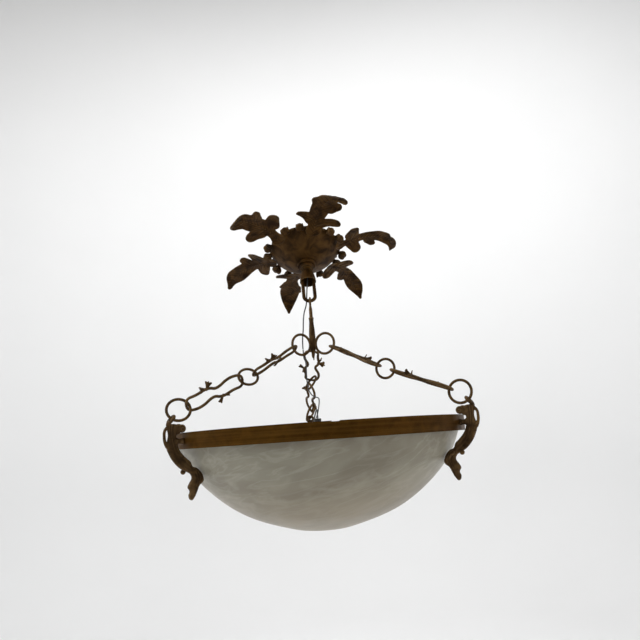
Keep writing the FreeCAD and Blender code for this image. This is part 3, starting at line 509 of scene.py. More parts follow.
def start_material(name: str, **constants: float | tuple) -> tuple[Material, Wiring, bpy.types.Node]:
    """Make a material with its shader.

    Args:
        name: Name of the material.
        **constants: Shader sockets that are the same all over, with underscores for spaces.

    Returns:
        The material, its wiring and its shader node.
    """
    material = bpy.data.materials.new(name)
    material.use_nodes = True
    shader = material.node_tree.nodes["Principled BSDF"]
    for label, value in constants.items():
        shader.inputs[label.replace("_", " ")].default_value = value
    return material, Wiring(material.node_tree), shader


def set_bump(wiring: Wiring, shader: bpy.types.Node, height: object, strength: float,
             distance: float) -> None:
    """Feed a height into the shader's normal."""
    bump = wiring.add("Bump", None, Height=height, Strength=strength, Distance=distance)
    wiring.feed(shader.inputs["Normal"], bump.outputs["Normal"])


@dataclass(frozen=True)
class PatinaFinish:
    """Patinated bronze of one tone."""

    name: str
    dark: Point3
    brown: Point3
    rubbed: Point3
    rub: float = 0.5
    grain: float = 90.0
    streaks: bool = False
    metallic: float = 0.25
    specular: float = 0.14

    def make(self, group: Tree) -> Material:
        """Build the material around the patina group."""
        material, wiring, shader = start_material(self.name, Metallic=self.metallic,
                                                  Specular_IOR_Level=self.specular)
        patina = wiring.add("Group", {"node_tree": group})
        for label, value in (("Dark", self.dark), ("Brown", self.brown), ("Rubbed", self.rubbed)):
            patina.inputs[label].default_value = (*value, 1.0)
        patina.inputs["Rub"].default_value = self.rub
        patina.inputs["Grain"].default_value = self.grain
        colour, height = patina.outputs["Color"], patina.outputs["Height"]
        if self.streaks:
            place_at = wiring.add("TexCoord").outputs["Object"]
            lines = wiring.noise(wiring.stretched(place_at, (0.2, 0.2, 0.004)), 1.0, 5.0, 0.3)
            colour = wiring.blend(wiring.ramp(lines, 0.42, 0.72, 0.0, 0.7), colour, self.rubbed)
            height = wiring.maths("ADD", height, lines)
        wiring.feed(shader.inputs["Base Color"], colour)
        wiring.feed(shader.inputs["Roughness"], patina.outputs["Roughness"])
        set_bump(wiring, shader, height, 0.35, 0.0006)
        return material


@dataclass(frozen=True)
class PlainFinish:
    """A plain metal, plastic or glass with a little unevenness."""

    name: str
    base: Point3
    worn: Point3
    roughness: float
    metallic: float = 0.0
    scale: float = 60.0
    contrast: float = 0.5
    bump: float = 0.15
    transmission: float = 0.0

    def make(self, group: Tree) -> Material:
        """Build the material around the mottle group."""
        material, wiring, shader = start_material(self.name, Metallic=self.metallic,
                                                  Transmission_Weight=self.transmission)
        mottle = wiring.add("Group", {"node_tree": group})
        mottle.inputs["Base"].default_value = (*self.base, 1.0)
        mottle.inputs["Worn"].default_value = (*self.worn, 1.0)
        mottle.inputs["Scale"].default_value = self.scale
        mottle.inputs["Contrast"].default_value = self.contrast
        wiring.feed(shader.inputs["Base Color"], mottle.outputs["Color"])
        wiring.feed(shader.inputs["Roughness"],
                    wiring.maths("ADD", mottle.outputs["Roughness"], self.roughness))
        set_bump(wiring, shader, mottle.outputs["Height"], self.bump, 0.0002)
        return material


@dataclass(frozen=True)
class AlabasterFinish:
    """Cloudy grey-white stone with pale slanting veins, warmer towards the bottom, with tones set darker
    than the stone's own as painted shade, and a painted rim light along its lower edge.
    """

    name: str = "alabaster"
    # painted shade: every tone below is set darker than the pale stone's own colour, standing in for the
    # shade that the bowl hangs in
    shadow: Point3 = (0.285, 0.255, 0.195)
    body: Point3 = (0.375, 0.35, 0.275)
    vein: Point3 = (0.50, 0.475, 0.39)
    warm: Point3 = (0.36, 0.285, 0.19)
    # painted rim light: pale cream laid on the lower bowl where it is seen edge-on
    edge: Point3 = (0.80, 0.72, 0.55)
    cloud_scale: float = 11.0
    vein_slant: float = -18.0
    warm_span: tuple[float, float] = (-0.070, -0.150)    # heights from the rim plane

    def make(self) -> Material:
        """Build the stone."""
        material, wiring, shader = start_material(
            self.name, Subsurface_Weight=0.2, Subsurface_Scale=0.010, Coat_Roughness=0.35, IOR=1.5,
            Specular_IOR_Level=0.25)
        shader.inputs["Subsurface Radius"].default_value = (1.0, 0.9, 0.75)
        place_at = wiring.add("TexCoord").outputs["Object"]
        slant = (0.0, math.radians(self.vein_slant), 0.0)
        drift = wiring.stretched(place_at, (1.7, 1.0, 0.6), slant)
        clouds = wiring.noise(drift, self.cloud_scale, 6.0, 0.8)
        patches = wiring.noise(drift, self.cloud_scale * 2.6, 5.0, 0.6)
        streaks = wiring.stretched(place_at, (2.6, 1.2, 0.42), slant)
        veins = wiring.noise(streaks, self.cloud_scale * 1.5, 7.0, 1.4)
        thread = wiring.maths("ABSOLUTE", wiring.maths("SUBTRACT", veins, 0.5))
        thread = wiring.ramp(thread, 0.0, 0.05, 1.0, 0.0)
        colour = wiring.blend(wiring.ramp(clouds, 0.34, 0.64), self.shadow, self.body)
        colour = wiring.blend(wiring.ramp(patches, 0.50, 0.72, 0.0, 0.5), colour, self.vein)
        colour = wiring.blend(wiring.times(thread, wiring.ramp(clouds, 0.3, 0.6, 0.10, 0.5)),
                              colour, self.vein)
        height = wiring.add("SeparateXYZ", None, Vector=place_at).outputs["Z"]
        warmth = wiring.ramp(height, RIM_Z + self.warm_span[0], RIM_Z + self.warm_span[1], 0.0, 0.8)
        colour = wiring.blend(wiring.times(warmth, wiring.ramp(clouds, 0.25, 0.7, 0.4, 1.0)),
                              colour, self.warm)
        # painted rim light: faces seen edge-on towards the bottom go towards the edge colour
        painted_rim_light = wiring.add("LayerWeight", None, Blend=0.15).outputs["Facing"]
        painted_rim_light = wiring.times(wiring.ramp(painted_rim_light, 0.6, 1.0), warmth)
        colour = wiring.blend(painted_rim_light, colour, self.edge)
        wiring.feed(shader.inputs["Base Color"], colour)
        wiring.feed(shader.inputs["Roughness"], wiring.ramp(patches, 0.3, 0.7, 0.42, 0.32))
        wiring.feed(shader.inputs["Coat Weight"], wiring.ramp(clouds, 0.3, 0.7, 0.02, 0.08))
        set_bump(wiring, shader, wiring.noise(place_at, 240.0, 3.0), 0.08, 0.0004)
        return material


PLAIN_FINISHES = [
    PlainFinish("zinc_steel", (0.42, 0.42, 0.40), (0.30, 0.30, 0.29), 0.35, 1.0),
    PlainFinish("spider_brass", (0.42, 0.31, 0.15), (0.26, 0.18, 0.09), 0.3, 1.0),
    PlainFinish("screw_brass", (0.24, 0.17, 0.08), (0.12, 0.08, 0.04), 0.35, 1.0),
    PlainFinish("black_phenolic", (0.022, 0.020, 0.018), (0.04, 0.036, 0.032), 0.3),
    PlainFinish("black_nylon", (0.03, 0.03, 0.03), (0.05, 0.05, 0.05), 0.45),
    PlainFinish("white_nylon", (0.72, 0.70, 0.66), (0.62, 0.60, 0.55), 0.4),
    PlainFinish("cap_metal", (0.68, 0.67, 0.64), (0.52, 0.51, 0.48), 0.22, 1.0),
    PlainFinish("frosted_glass", (0.86, 0.85, 0.82), (0.80, 0.79, 0.75), 0.35, 0.0, 30.0, 0.3, 0.05),
    PlainFinish("flex_sheath", (0.070, 0.070, 0.075), (0.12, 0.12, 0.125), 0.4, 0.0, 150.0),
]


class Finishes:
    """Every finish of the light, made once."""

    def __init__(self) -> None:
        """Build the shared groups and the materials."""
        patina, mottle = patina_group(), mottle_group()
        self.mottle = mottle
        self.bronze = PatinaFinish("patinated_bronze", (0.032, 0.013, 0.002), (0.115, 0.052, 0.010),
                                   (0.26, 0.16, 0.06), 0.55).make(patina)
        self.leaf = PatinaFinish("leaf_bronze", (0.030, 0.012, 0.002), (0.125, 0.060, 0.014),
                                 (0.30, 0.19, 0.08), 0.7, 120.0).make(patina)
        self.chain = PatinaFinish("chain_bronze", (0.050, 0.026, 0.009), (0.150, 0.085, 0.032),
                                  (0.36, 0.24, 0.12), 0.7, 140.0).make(patina)
        self.band = PatinaFinish("band_bronze", (0.040, 0.015, 0.001), (0.078, 0.032, 0.003),
                                 (0.125, 0.060, 0.010), 0.25, 60.0, True, specular=0.04).make(patina)
        self.plain = {finish.name: finish.make(mottle) for finish in PLAIN_FINISHES}
        self.alabaster = AlabasterFinish().make()


def turned(degrees: float, axis: str) -> Matrix:
    """Turn by degrees about an axis of the frame."""
    return Matrix.Rotation(math.radians(degrees), 4, axis)


def dress(obj: Obj, finish: Material) -> None:
    """Give an object one finish all over."""
    obj.data.materials.clear()
    obj.data.materials.append(finish)


# ------------------------------------------------------------------ shapes of this light
def metres(points: list[tuple]) -> list[tuple]:
    """Millimetre points in metres."""
    return [tuple(number * MM for number in point) for point in points]


def finger_outline(stations: list[Point3]) -> list[Point2]:
    """Outline of a soft finger through stations of (along, across, half width), round at its end."""
    spine = np.array([station[:2] for station in stations])
    widths = [station[2] for station in stations]
    runs = np.gradient(spine, axis=0)
    runs /= np.linalg.norm(runs, axis=1)[:, None]
    sides = np.stack([-runs[:, 1], runs[:, 0]], axis=1)
    left = [tuple(middle + side * width) for middle, side, width in zip(spine, sides, widths)]
    right = [tuple(middle - side * width) for middle, side, width in zip(spine, sides, widths)]
    end, run, side, width = spine[-1], runs[-1], sides[-1], widths[-1]
    cap = [tuple(end + width * (0.7 * run + 0.72 * side)), tuple(end + width * run),
           tuple(end + width * (0.7 * run - 0.72 * side))]
    return left + cap + right[::-1]


def petals(name: str, outlines: list[list[Point2]], thickness: float, voxel: float,
           passes: int = 4) -> Obj:
    """Overlapping flat plates melted into one soft casting, all sizes in metres."""
    plates = [plate(f"{name}_{index}", outline, thickness, thickness * 0.3)
              for index, outline in enumerate(outlines)]
    casting = join(name, plates) if len(plates) > 1 else plates[0]
    casting.name = name
    cast_together(casting, voxel, passes)
    return casting


def curl(points: np.ndarray, start: float, radius: float, most: float) -> np.ndarray:
    """Roll the far end of a shape that lies along +X down about the Y axis.

    Args:
        points: Points of the shape, an array of X, Y, Z.
        start: X where the roll starts.
        radius: Radius of the roll.
        most: Largest turn in degrees, after which it runs straight on.

    Returns:
        The rolled points.
    """
    past = np.clip(points[:, 0] - start, 0.0, None)
    turn = np.minimum(past / radius, math.radians(most))
    rest = past - turn * radius
    reach = radius + points[:, 2]
    rolled = points.copy()
    beyond = past > 0
    rolled[beyond, 0] = (start + reach * np.sin(turn) + rest * np.cos(turn))[beyond]
    rolled[beyond, 2] = (reach * np.cos(turn) - radius - rest * np.sin(turn))[beyond]
    return rolled


def hand_over(obj: Obj, finish: Material, body: str, slot: str, *nodes: str) -> None:
    """Dress a piece, hand it to its body and hide the node that it stands for."""
    dress(obj, finish)
    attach(obj, body)
    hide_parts(*nodes)
    LOG.info("%s rides on %s and stands for %s", obj.name, body, ", ".join(nodes))


@dataclass
class Dome:
    """Fluted canopy dome with its rolled buds, in the canopy's own upright frame."""

    floor_level: float = 0.090
    mouth_level: float = 0.127
    floor_r: float = 0.020
    mouth_r: float = 0.0690
    hole_r: float = 0.0054
    wall: float = 0.0025
    flutes: int = 40
    flute_depth: float = 0.0030
    bud_spread: float = 11.0
    bud_start: float = 0.0750
    bud_roll: float = 0.0058
    bead_r: float = 0.0070
    tongue: tuple[Point3, ...] = (
        (64.0, 0.0, 4.5), (72.0, 0.0, 5.0), (80.0, 0.0, 7.4), (92.0, 0.0, 7.8), (102.0, 0.0, 5.0))

    def arc(self, inset: float, steps: int) -> list[Point2]:
        """Points of the dome's curve from its floor to its mouth, moved inwards."""
        points = []
        for step in range(steps + 1):
            share = step / steps
            radius = self.floor_r + (self.mouth_r - self.floor_r) * share - inset * 0.6 * share
            rise = 0.58 * share ** 1.25 + 0.42 * share ** 4
            height = self.floor_level + inset + (self.mouth_level - self.floor_level - inset) * rise
            points.append((radius, height))
        return points

    def shell(self) -> Obj:
        """Turn the dome, press its flutes and mark their grooves for patina and painted shade."""
        outer, inner = self.arc(0.0, 22), self.arc(self.wall, 14)
        lip = [(self.mouth_r + 0.0006, self.mouth_level - 0.0006)]
        profile = [(self.hole_r, self.floor_level)] + outer + lip + inner[::-1]
        profile += [(self.hole_r, self.floor_level + self.wall), (self.hole_r, self.floor_level)]
        obj = lathe("canopy_dome_fluted", profile, self.flutes * 8)
        points = read_points(obj)
        normals = read_normals(obj)
        radius = np.hypot(points[:, 0], points[:, 1])
        around = np.arctan2(points[:, 1], points[:, 0])
        grow = np.clip((radius - self.floor_r) / (self.mouth_r - self.floor_r), 0.0, 1.0)
        crest = np.abs(np.sin(around * self.flutes / 2)) ** 0.75
        uneven = 1.0 + 0.25 * np.sin(around * 7.0 + 1.3)
        outside = normals[:, 2] < 0.35
        depth = self.flute_depth * grow ** 0.8 * (crest - 0.62) * uneven
        points += normals * np.where(outside, depth, 0.0)[:, None]
        write_points(obj, points)
        # painted shade in the flute grooves, together with the patina gathered there
        mark_patina_and_groove_shade(obj, np.where(outside, np.clip(grow * (1.15 - 1.5 * crest), 0.0, 1.0), 0.0))
        return obj

    def bud(self) -> Obj:
        """One tongue of the rim, rolled under itself round a bead."""
        tongue = finger_outline(metres(self.tongue))
        obj = petals("bud", [tongue], 0.0022, 0.00055, 3)
        engrave(obj, [metres([(66.0, 0.0), (100.0, 0.0)]), metres([(68.0, 3.0), (96.0, 4.0)]),
                      metres([(68.0, -3.0), (96.0, -4.0)])], 0.0008, 0.0010)
        write_points(obj, curl(read_points(obj), self.bud_start, self.bud_roll, 285.0))
        bead_at = (self.bud_start + 0.0025, 0.0, -self.bud_roll)
        bead = ball("bud_bead", self.bead_r, bead_at, (1.0, 1.0, 0.8))
        obj = join("bud", [obj, bead])
        return place(obj, Matrix.Translation((0.0, 0.0, self.mouth_level - 0.0018)))

    def build(self, finishes: Finishes) -> None:
        """Make the dome with a pair of buds in each gap between the leaves."""
        pieces = [self.shell()]
        first = self.bud()
        order = sorted(leaf.azimuth for leaf in LEAVES)
        for index, (here, after) in enumerate(zip(order, order[1:] + [order[0] + 360.0])):
            for side in (-1.0, 1.0):
                azimuth = (here + after) / 2 + side * self.bud_spread
                bud = twin(first, f"bud_{index}_{side}")
                size = 1.0 + 0.12 * math.sin(azimuth)
                pieces.append(place(bud, turned(azimuth, "Z") @ Matrix.Diagonal((1.0, size, 1.0, 1.0))))
        bpy.data.objects.remove(first)
        dome = join("canopy_dome_fluted", pieces)
        shade(dome, 50.0)
        place(dome, CANOPY_PLACE)
        hand_over(dome, finishes.leaf, "canopy", "patinated_bronze", "canopy_dome")


@dataclass
class CanopyLeaf:
    """One cast leaf, drawn flat as (distance from the dome's rim, distance across, half width) in mm."""

    name: str
    azimuth: float
    blade: list[Point3]
    lobes: list[list[Point3]]
    wave: float = 1.6
    phase: float = 0.0
    tip_start: float = 84.0
    tip_roll: float = 22.0
    tip_turn: float = 30.0
    thickness: float = 0.0028
    dome_r: float = 0.075
    mouth_level: float = 0.127
    levels: tuple[float, float, float] = (-0.0105, -0.0050, -0.0130)     # root, crest and before the tip
    crest_at: float = 0.043
    length: float = 0.103
    cup: float = -2.2                                    # fall of the blade by its squared width, per metre
    edge_from: float = 0.030
    edge_fall: float = -0.004

    def veins(self) -> tuple[list[list[Point2]], list[list[Point2]]]:
        """Main ribs down the blade and its lobes, and fine lines that fan out between them."""
        spine = [station[:2] for station in self.blade]
        ribs = [spine] + [[lobe[0][:2], lobe[-1][:2]] for lobe in self.lobes]
        fine = []
        for here, after in zip(self.blade, self.blade[1:]):
            for share in (0.15, 0.5, 0.85):
                along = here[0] + (after[0] - here[0]) * share
                across = here[1] + (after[1] - here[1]) * share
                width = here[2] + (after[2] - here[2]) * share
                for side in (-1.0, 1.0):
                    fine.append([(along, across), (along + width * 0.9, across + side * width * 0.95)])
        for lobe in self.lobes:
            start, end = lobe[0], lobe[-1]
            run = Vector((end[0] - start[0], end[1] - start[1])).normalized()
            across = Vector((-run.y, run.x))
            for side in (-0.55, 0.55):
                shift = across * end[2] * side
                fine.append([(start[0] + shift.x * 0.4, start[1] + shift.y * 0.4),
                             (end[0] + shift.x, end[1] + shift.y)])
        return [metres(line) for line in ribs], [metres(line) for line in fine]

    def heights(self, along: np.ndarray) -> np.ndarray:
        """Level of the leaf's middle plane along its length."""
        root, crest, tip = self.levels
        inner = 1.0 - np.clip(along / self.crest_at, -0.5, 1.0)
        outer = np.clip((along - self.crest_at) / (self.length - self.crest_at), 0.0, 1.2)
        return np.where(along < self.crest_at, crest + (root - crest) * inner ** 2,
                        crest + (tip - crest) * outer ** 2)

    def build(self, finishes: Finishes) -> None:
        """Cast the leaf flat, draw its veins, then bend it and lay it on the dome's rim."""
        outlines = [finger_outline(metres(part)) for part in (self.blade, *self.lobes)]
        obj = petals("canopy_leaf_" + self.name + "_cast", outlines, self.thickness, 0.0008, 5)
        ribs, fine = self.veins()
        engrave(obj, ribs, -0.0007, 0.0013)
        engrave(obj, fine, 0.0006, 0.0008)
        points = read_points(obj)
        middle = np.interp(points[:, 0], [s[0] * MM for s in self.blade], [s[1] * MM for s in self.blade])
        off = points[:, 1] - middle
        lift = self.heights(points[:, 0])
        wave = self.wave * MM * np.sin(points[:, 0] / 0.0095 + self.phase)
        wave *= np.clip(np.abs(off) / 0.02, 0.0, 1.6)
        cup = self.cup * off ** 2
        edge = np.clip((np.abs(off) - self.edge_from) / 0.02, 0.0, 1.5) ** 2 * self.edge_fall
        points = curl(points, self.tip_start * MM, self.tip_roll * MM, self.tip_turn)
        points[:, 2] += lift + wave + cup + edge
        write_points(obj, points)
        shade(obj, 60.0)
        upright = turned(self.azimuth, "Z")
        place(obj, CANOPY_PLACE @ upright @ Matrix.Translation((self.dome_r, 0.0, self.mouth_level)))
        hand_over(obj, finishes.leaf, "canopy", "leaf_bronze", "canopy_leaf_" + self.name)


LEAVES = [
    CanopyLeaf(
        "front", -73.0,
        [(-9, -6, 13), (12, -9, 13), (34, -11, 17), (58, -10, 20), (80, -4, 20), (96, 6, 15), (104, 15, 8)],
        [[(20, -14, 12), (30, -34, 9), (34, -48, 5)], [(58, -14, 10), (70, -24, 10)],
         [(10, -4, 7), (20, 14, 10), (24, 28, 9.5)], [(54, 2, 12), (62, 17, 10)]],
        1.3, 0.4, 84.0, 13.0, 80.0, levels=(-0.0135, -0.0082, -0.0162)),
    CanopyLeaf(
        "right", -8.0,
        [(-9, -11, 11), (4, -13, 8), (20, -18, 12), (40, -21, 10), (58, -20, 12), (76, -19, 15),
         (90, -9, 14), (97, 8, 8), (94, 20, 3)],
        [[(18, -22, 11), (26, -46, 10)], [(16, -14, 10), (25, 5, 11)], [(50, -14, 9), (57, 0, 8)]],
        1.8, 2.1, 88.0, 30.0, 20.0),
    CanopyLeaf(
        "rear_right", 50.0,
        [(-12, -13, 12), (6, -19, 11), (30, -20, 12), (52, -16, 14), (76, -11, 17), (97, -5, 12),
         (110, -2, 4)],
        [[(4, -22, 9), (8, -46, 10)], [(-2, -12, 9), (8, 10, 10)], [(34, -16, 10), (43, -1, 8.5)]],
        1.4, 3.0, 88.0, 30.0, 25.0),
    CanopyLeaf(
        "rear", 104.0,
        [(-11, 2, 15), (16, 4, 12), (32, 2, 16), (52, 0, 21), (76, -4, 18), (98, -8, 10), (110, -10, 3.5)],
        [[(-2, 8, 9), (6, 35, 7)], [(30, 8, 9), (42, 21, 5)], [(40, -8, 10), (53, -20, 5)]],
        1.3, 0.9, 86.0, 28.0, 25.0),
    CanopyLeaf(
        "rear_left", 152.0,
        [(-11, 13, 12), (10, 16, 11), (24, 18, 13), (44, 18, 17), (66, 15, 20), (86, 7, 18), (102, -3, 7)],
        [[(12, 20, 9), (17, 48, 10)], [(14, 14, 10), (24, -9, 10.5)], [(38, 26, 9), (42, 42, 8)]],
        1.6, 4.2, 88.0, 30.0, 30.0),
    CanopyLeaf(
        "left", 214.0,
        [(-10, 9, 13), (10, 14, 11), (28, 18, 16), (48, 18, 20), (68, 17, 20), (86, 15, 16), (99, 12, 9)],
        [[(22, 26, 12), (31, 48, 12)], [(30, 12, 13), (39, -13, 13)], [(58, 30, 10), (65, 46, 7)],
         [(74, 12, 12), (82, -7, 8)]],
        1.5, 5.0, 80.0, 17.0, 65.0),
]


@dataclass
class DropStem:
    """Rod with its eye, leaf sheath, three fused rings and tip, heights from the hoop's top edge."""

    eye_level: float = 0.2305
    eye_r: float = 0.0069
    eye_wire: float = 0.0019
    rod_r: float = 0.0032
    ring_out: float = 0.025
    ring_level: float = 0.148
    ring_r: float = 0.0189
    ring_wire: float = 0.00235
    ring_turn: float = -1.65
    sheath: tuple[float, float] = (0.200, 0.135)
    lobes: int = 5

    def rod(self) -> Obj:
        """Rod and sheath turned as one, then pressed into long leaves that flare at their tips."""
        top, bottom = self.sheath
        profile = [(0.0, self.eye_level - self.eye_r + 0.001), (self.eye_wire, self.eye_level - self.eye_r),
                   (self.rod_r, self.eye_level - self.eye_r - 0.008), (self.rod_r, top + 0.001)]
        profile += [(self.rod_r + 0.0016, top - 0.001), (self.rod_r + 0.0010, top - 0.005)]
        shape = ((0.12, 0.0040), (0.25, 0.0047), (0.4, 0.0054), (0.55, 0.0058), (0.7, 0.0058),
                 (0.84, 0.0053), (0.94, 0.0046), (1.0, 0.0040))
        for share, radius in shape:
            profile.append((radius, top + (bottom - top) * share))
        profile += [(0.0034, bottom - 0.0015), (0.0026, bottom - 0.005), (0.0016, bottom - 0.0105),
                    (0.0007, bottom - 0.0155), (0.0, bottom - 0.016)]
        fine = []
        for here, after in zip(profile, profile[1:]):
            steps = max(1, round(abs(after[1] - here[1]) / 0.0016))
            fine += [(here[0] + (after[0] - here[0]) * k / steps,
                      here[1] + (after[1] - here[1]) * k / steps) for k in range(steps)]
        obj = lathe("stem_rod", fine + [profile[-1]], 60)
        points = read_points(obj)
        around = np.arctan2(points[:, 1], points[:, 0])
        radius = np.hypot(points[:, 0], points[:, 1])
        share = np.clip((top - points[:, 2]) / (top - bottom), 0.0, 1.0)
        inside = (points[:, 2] < top) & (points[:, 2] > bottom - 0.014) & (radius > 1e-5)
        leaf = np.abs(np.sin(around * self.lobes / 2 + share * 0.8)) ** 0.6
        fade = np.sin(math.pi * np.clip(share, 0.05, 0.95))
        scale = 1.0 + np.where(inside, 0.20 * (leaf - 0.75) * fade, 0.0)
        points[:, :2] *= scale[:, None]
        write_points(obj, points)
        return obj

    def build(self, finishes: Finishes) -> None:
        """Join the rod, the eye and the rings."""
        upright = turned(90.0, "Y")
        pieces = [self.rod(), hoop("stem_eye", self.eye_r, self.eye_wire,
                                   Matrix.Translation((0.0, 0.0, self.eye_level)) @ upright)]
        for side, azimuth in SIDES.items():
            turn = turned(azimuth + self.ring_turn, "Z")
            shift = Matrix.Translation((self.ring_out, 0.0, self.ring_level))
            pieces.append(hoop("stem_ring_" + side, self.ring_r, self.ring_wire,
                               turn @ shift @ turned(90.0, "X")))
        stem = join("drop_stem_cast", pieces)
        shade(stem, 45.0)
        place(stem, BOWL_PLACE)
        hand_over(stem, finishes.chain, "stem", "patinated_bronze", "drop_stem")


class Level(Enum):
    """The two links of a chain."""

    UPPER = "upper"
    LOWER = "lower"


@dataclass
class ChainLink:
    """Endless wire link with two drawn-in kinks and a bow of small leaves at each, sizes in metres.

    Places along a link are shares of its length from its middle, and the second rail is the first one
    turned half round.
    """

    wire_r: float = 0.00225
    rail: tuple[Point2, ...] = (
        (0.5, 0.0130), (0.32, 0.0110), (0.17, 0.0145), (0.07, 0.0125), (0.0, 0.0072), (-0.09, 0.0080),
        (-0.20, 0.0140), (-0.34, 0.0155), (-0.5, 0.0095))
    swell: float = 1.12                                  # the wire's extra thickness between the ends
    swell_reach: float = 0.4
    bow_at: tuple[float, float] = (0.135, 0.0135)
    bow_thickness: float = 0.0027
    bow_voxel: float = 0.00045
    bow_leans: tuple[float, float] = (22.0, 112.0)
    bow_rolls: tuple[float, float] = (48.0, -42.0)       # about each leaf's own line
    bow_fold: float = 0.75
    twists: dict[str, tuple[float, float]] = field(default_factory=lambda: {
        "left": (26.0, 58.0), "right": (4.0, -10.0), "rear": (15.0, 242.0)})

    def rails(self, length: float) -> Obj:
        """The endless wire along X, flat in XY."""
        rail = [(share * length, width) for share, width in self.rail]
        curve = new_curve("link_line", 7, self.wire_r, 5)
        both = [(sign * x, sign * y, 0.0, 1.0) for sign in (1.0, -1.0) for x, y in rail]
        spline = control_spline(curve, both)
        for knot in spline.points:
            knot.radius = 1.0 if abs(knot.co[0]) > self.swell_reach * length else self.swell
        spline.use_cyclic_u = True
        obj = curve_mesh(curve, "link_wire")
        tidy_normals(obj)
        return obj

    def bow_leaf(self) -> Obj:
        """Small flared leaf along +X, folded up along its midrib."""
        outline = metres([(-2.5, 1.8), (2.5, 2.5), (7.0, 4.2), (10.6, 6.0), (12.4, 3.6), (11.6, 1.8),
                          (14.2, 0.0), (11.8, -1.9), (12.2, -4.0), (10.0, -5.9), (6.6, -4.1), (2.5, -2.4),
                          (-2.5, -1.8)])
        obj = petals("bow_leaf", [outline], self.bow_thickness, self.bow_voxel, 3)
        engrave(obj, [metres([(0.0, 0.0), (13.0, 0.0)]), metres([(3.5, 1.0), (10.6, 3.8)]),
                      metres([(3.5, -1.0), (10.2, -3.8)])], 0.0005, 0.0006)
        points = read_points(obj)
        points[:, 2] += self.bow_fold * np.abs(points[:, 1])
        write_points(obj, points)
        return obj

    def build(self, finishes: Finishes) -> None:
        """Make the six links, each on its own chain's line."""
        leaf = self.bow_leaf()
        for side in SIDES:
            for level, twist in zip(Level, self.twists[side]):
                name = f"link_{level.value}_{side}"
                joint = JOINTS[name + "_roll"]
                line = Vector(joint["axis"]).normalized()
                across = Vector((-line.y, line.x, 0.0)).normalized()
                pose = Matrix((line, across, line.cross(across))).transposed().to_4x4()
                pose = Matrix.Translation(joint["pos_m"]) @ pose @ turned(twist, "X")
                length = self.span(name, line)
                pieces = [self.rails(length)]
                for turn in (0.0, 180.0):
                    for lean, roll in zip(self.bow_leans, self.bow_rolls):
                        sign = 1.0 if turn == 0.0 else -1.0
                        spot = (sign * self.bow_at[0] * length, sign * self.bow_at[1], 0.0)
                        pose_at = Matrix.Translation(spot) @ turned(lean + turn, "Z") @ turned(roll, "X")
                        pieces.append(place(twin(leaf, "bow"), pose_at))
                link = join(name + "_leafed", pieces)
                shade(link, 50.0)
                place(link, pose)
                hand_over(link, finishes.chain, name, "patinated_bronze", name)
        bpy.data.objects.remove(leaf)

    def span(self, name: str, line: Vector) -> float:
        """Length of a link between the middles of its two end wires, from the node's own extent."""
        points = read_points(bpy.data.objects[name])
        reach = points @ np.array(line)
        return float(reach.max() - reach.min()) - 2 * self.wire_r


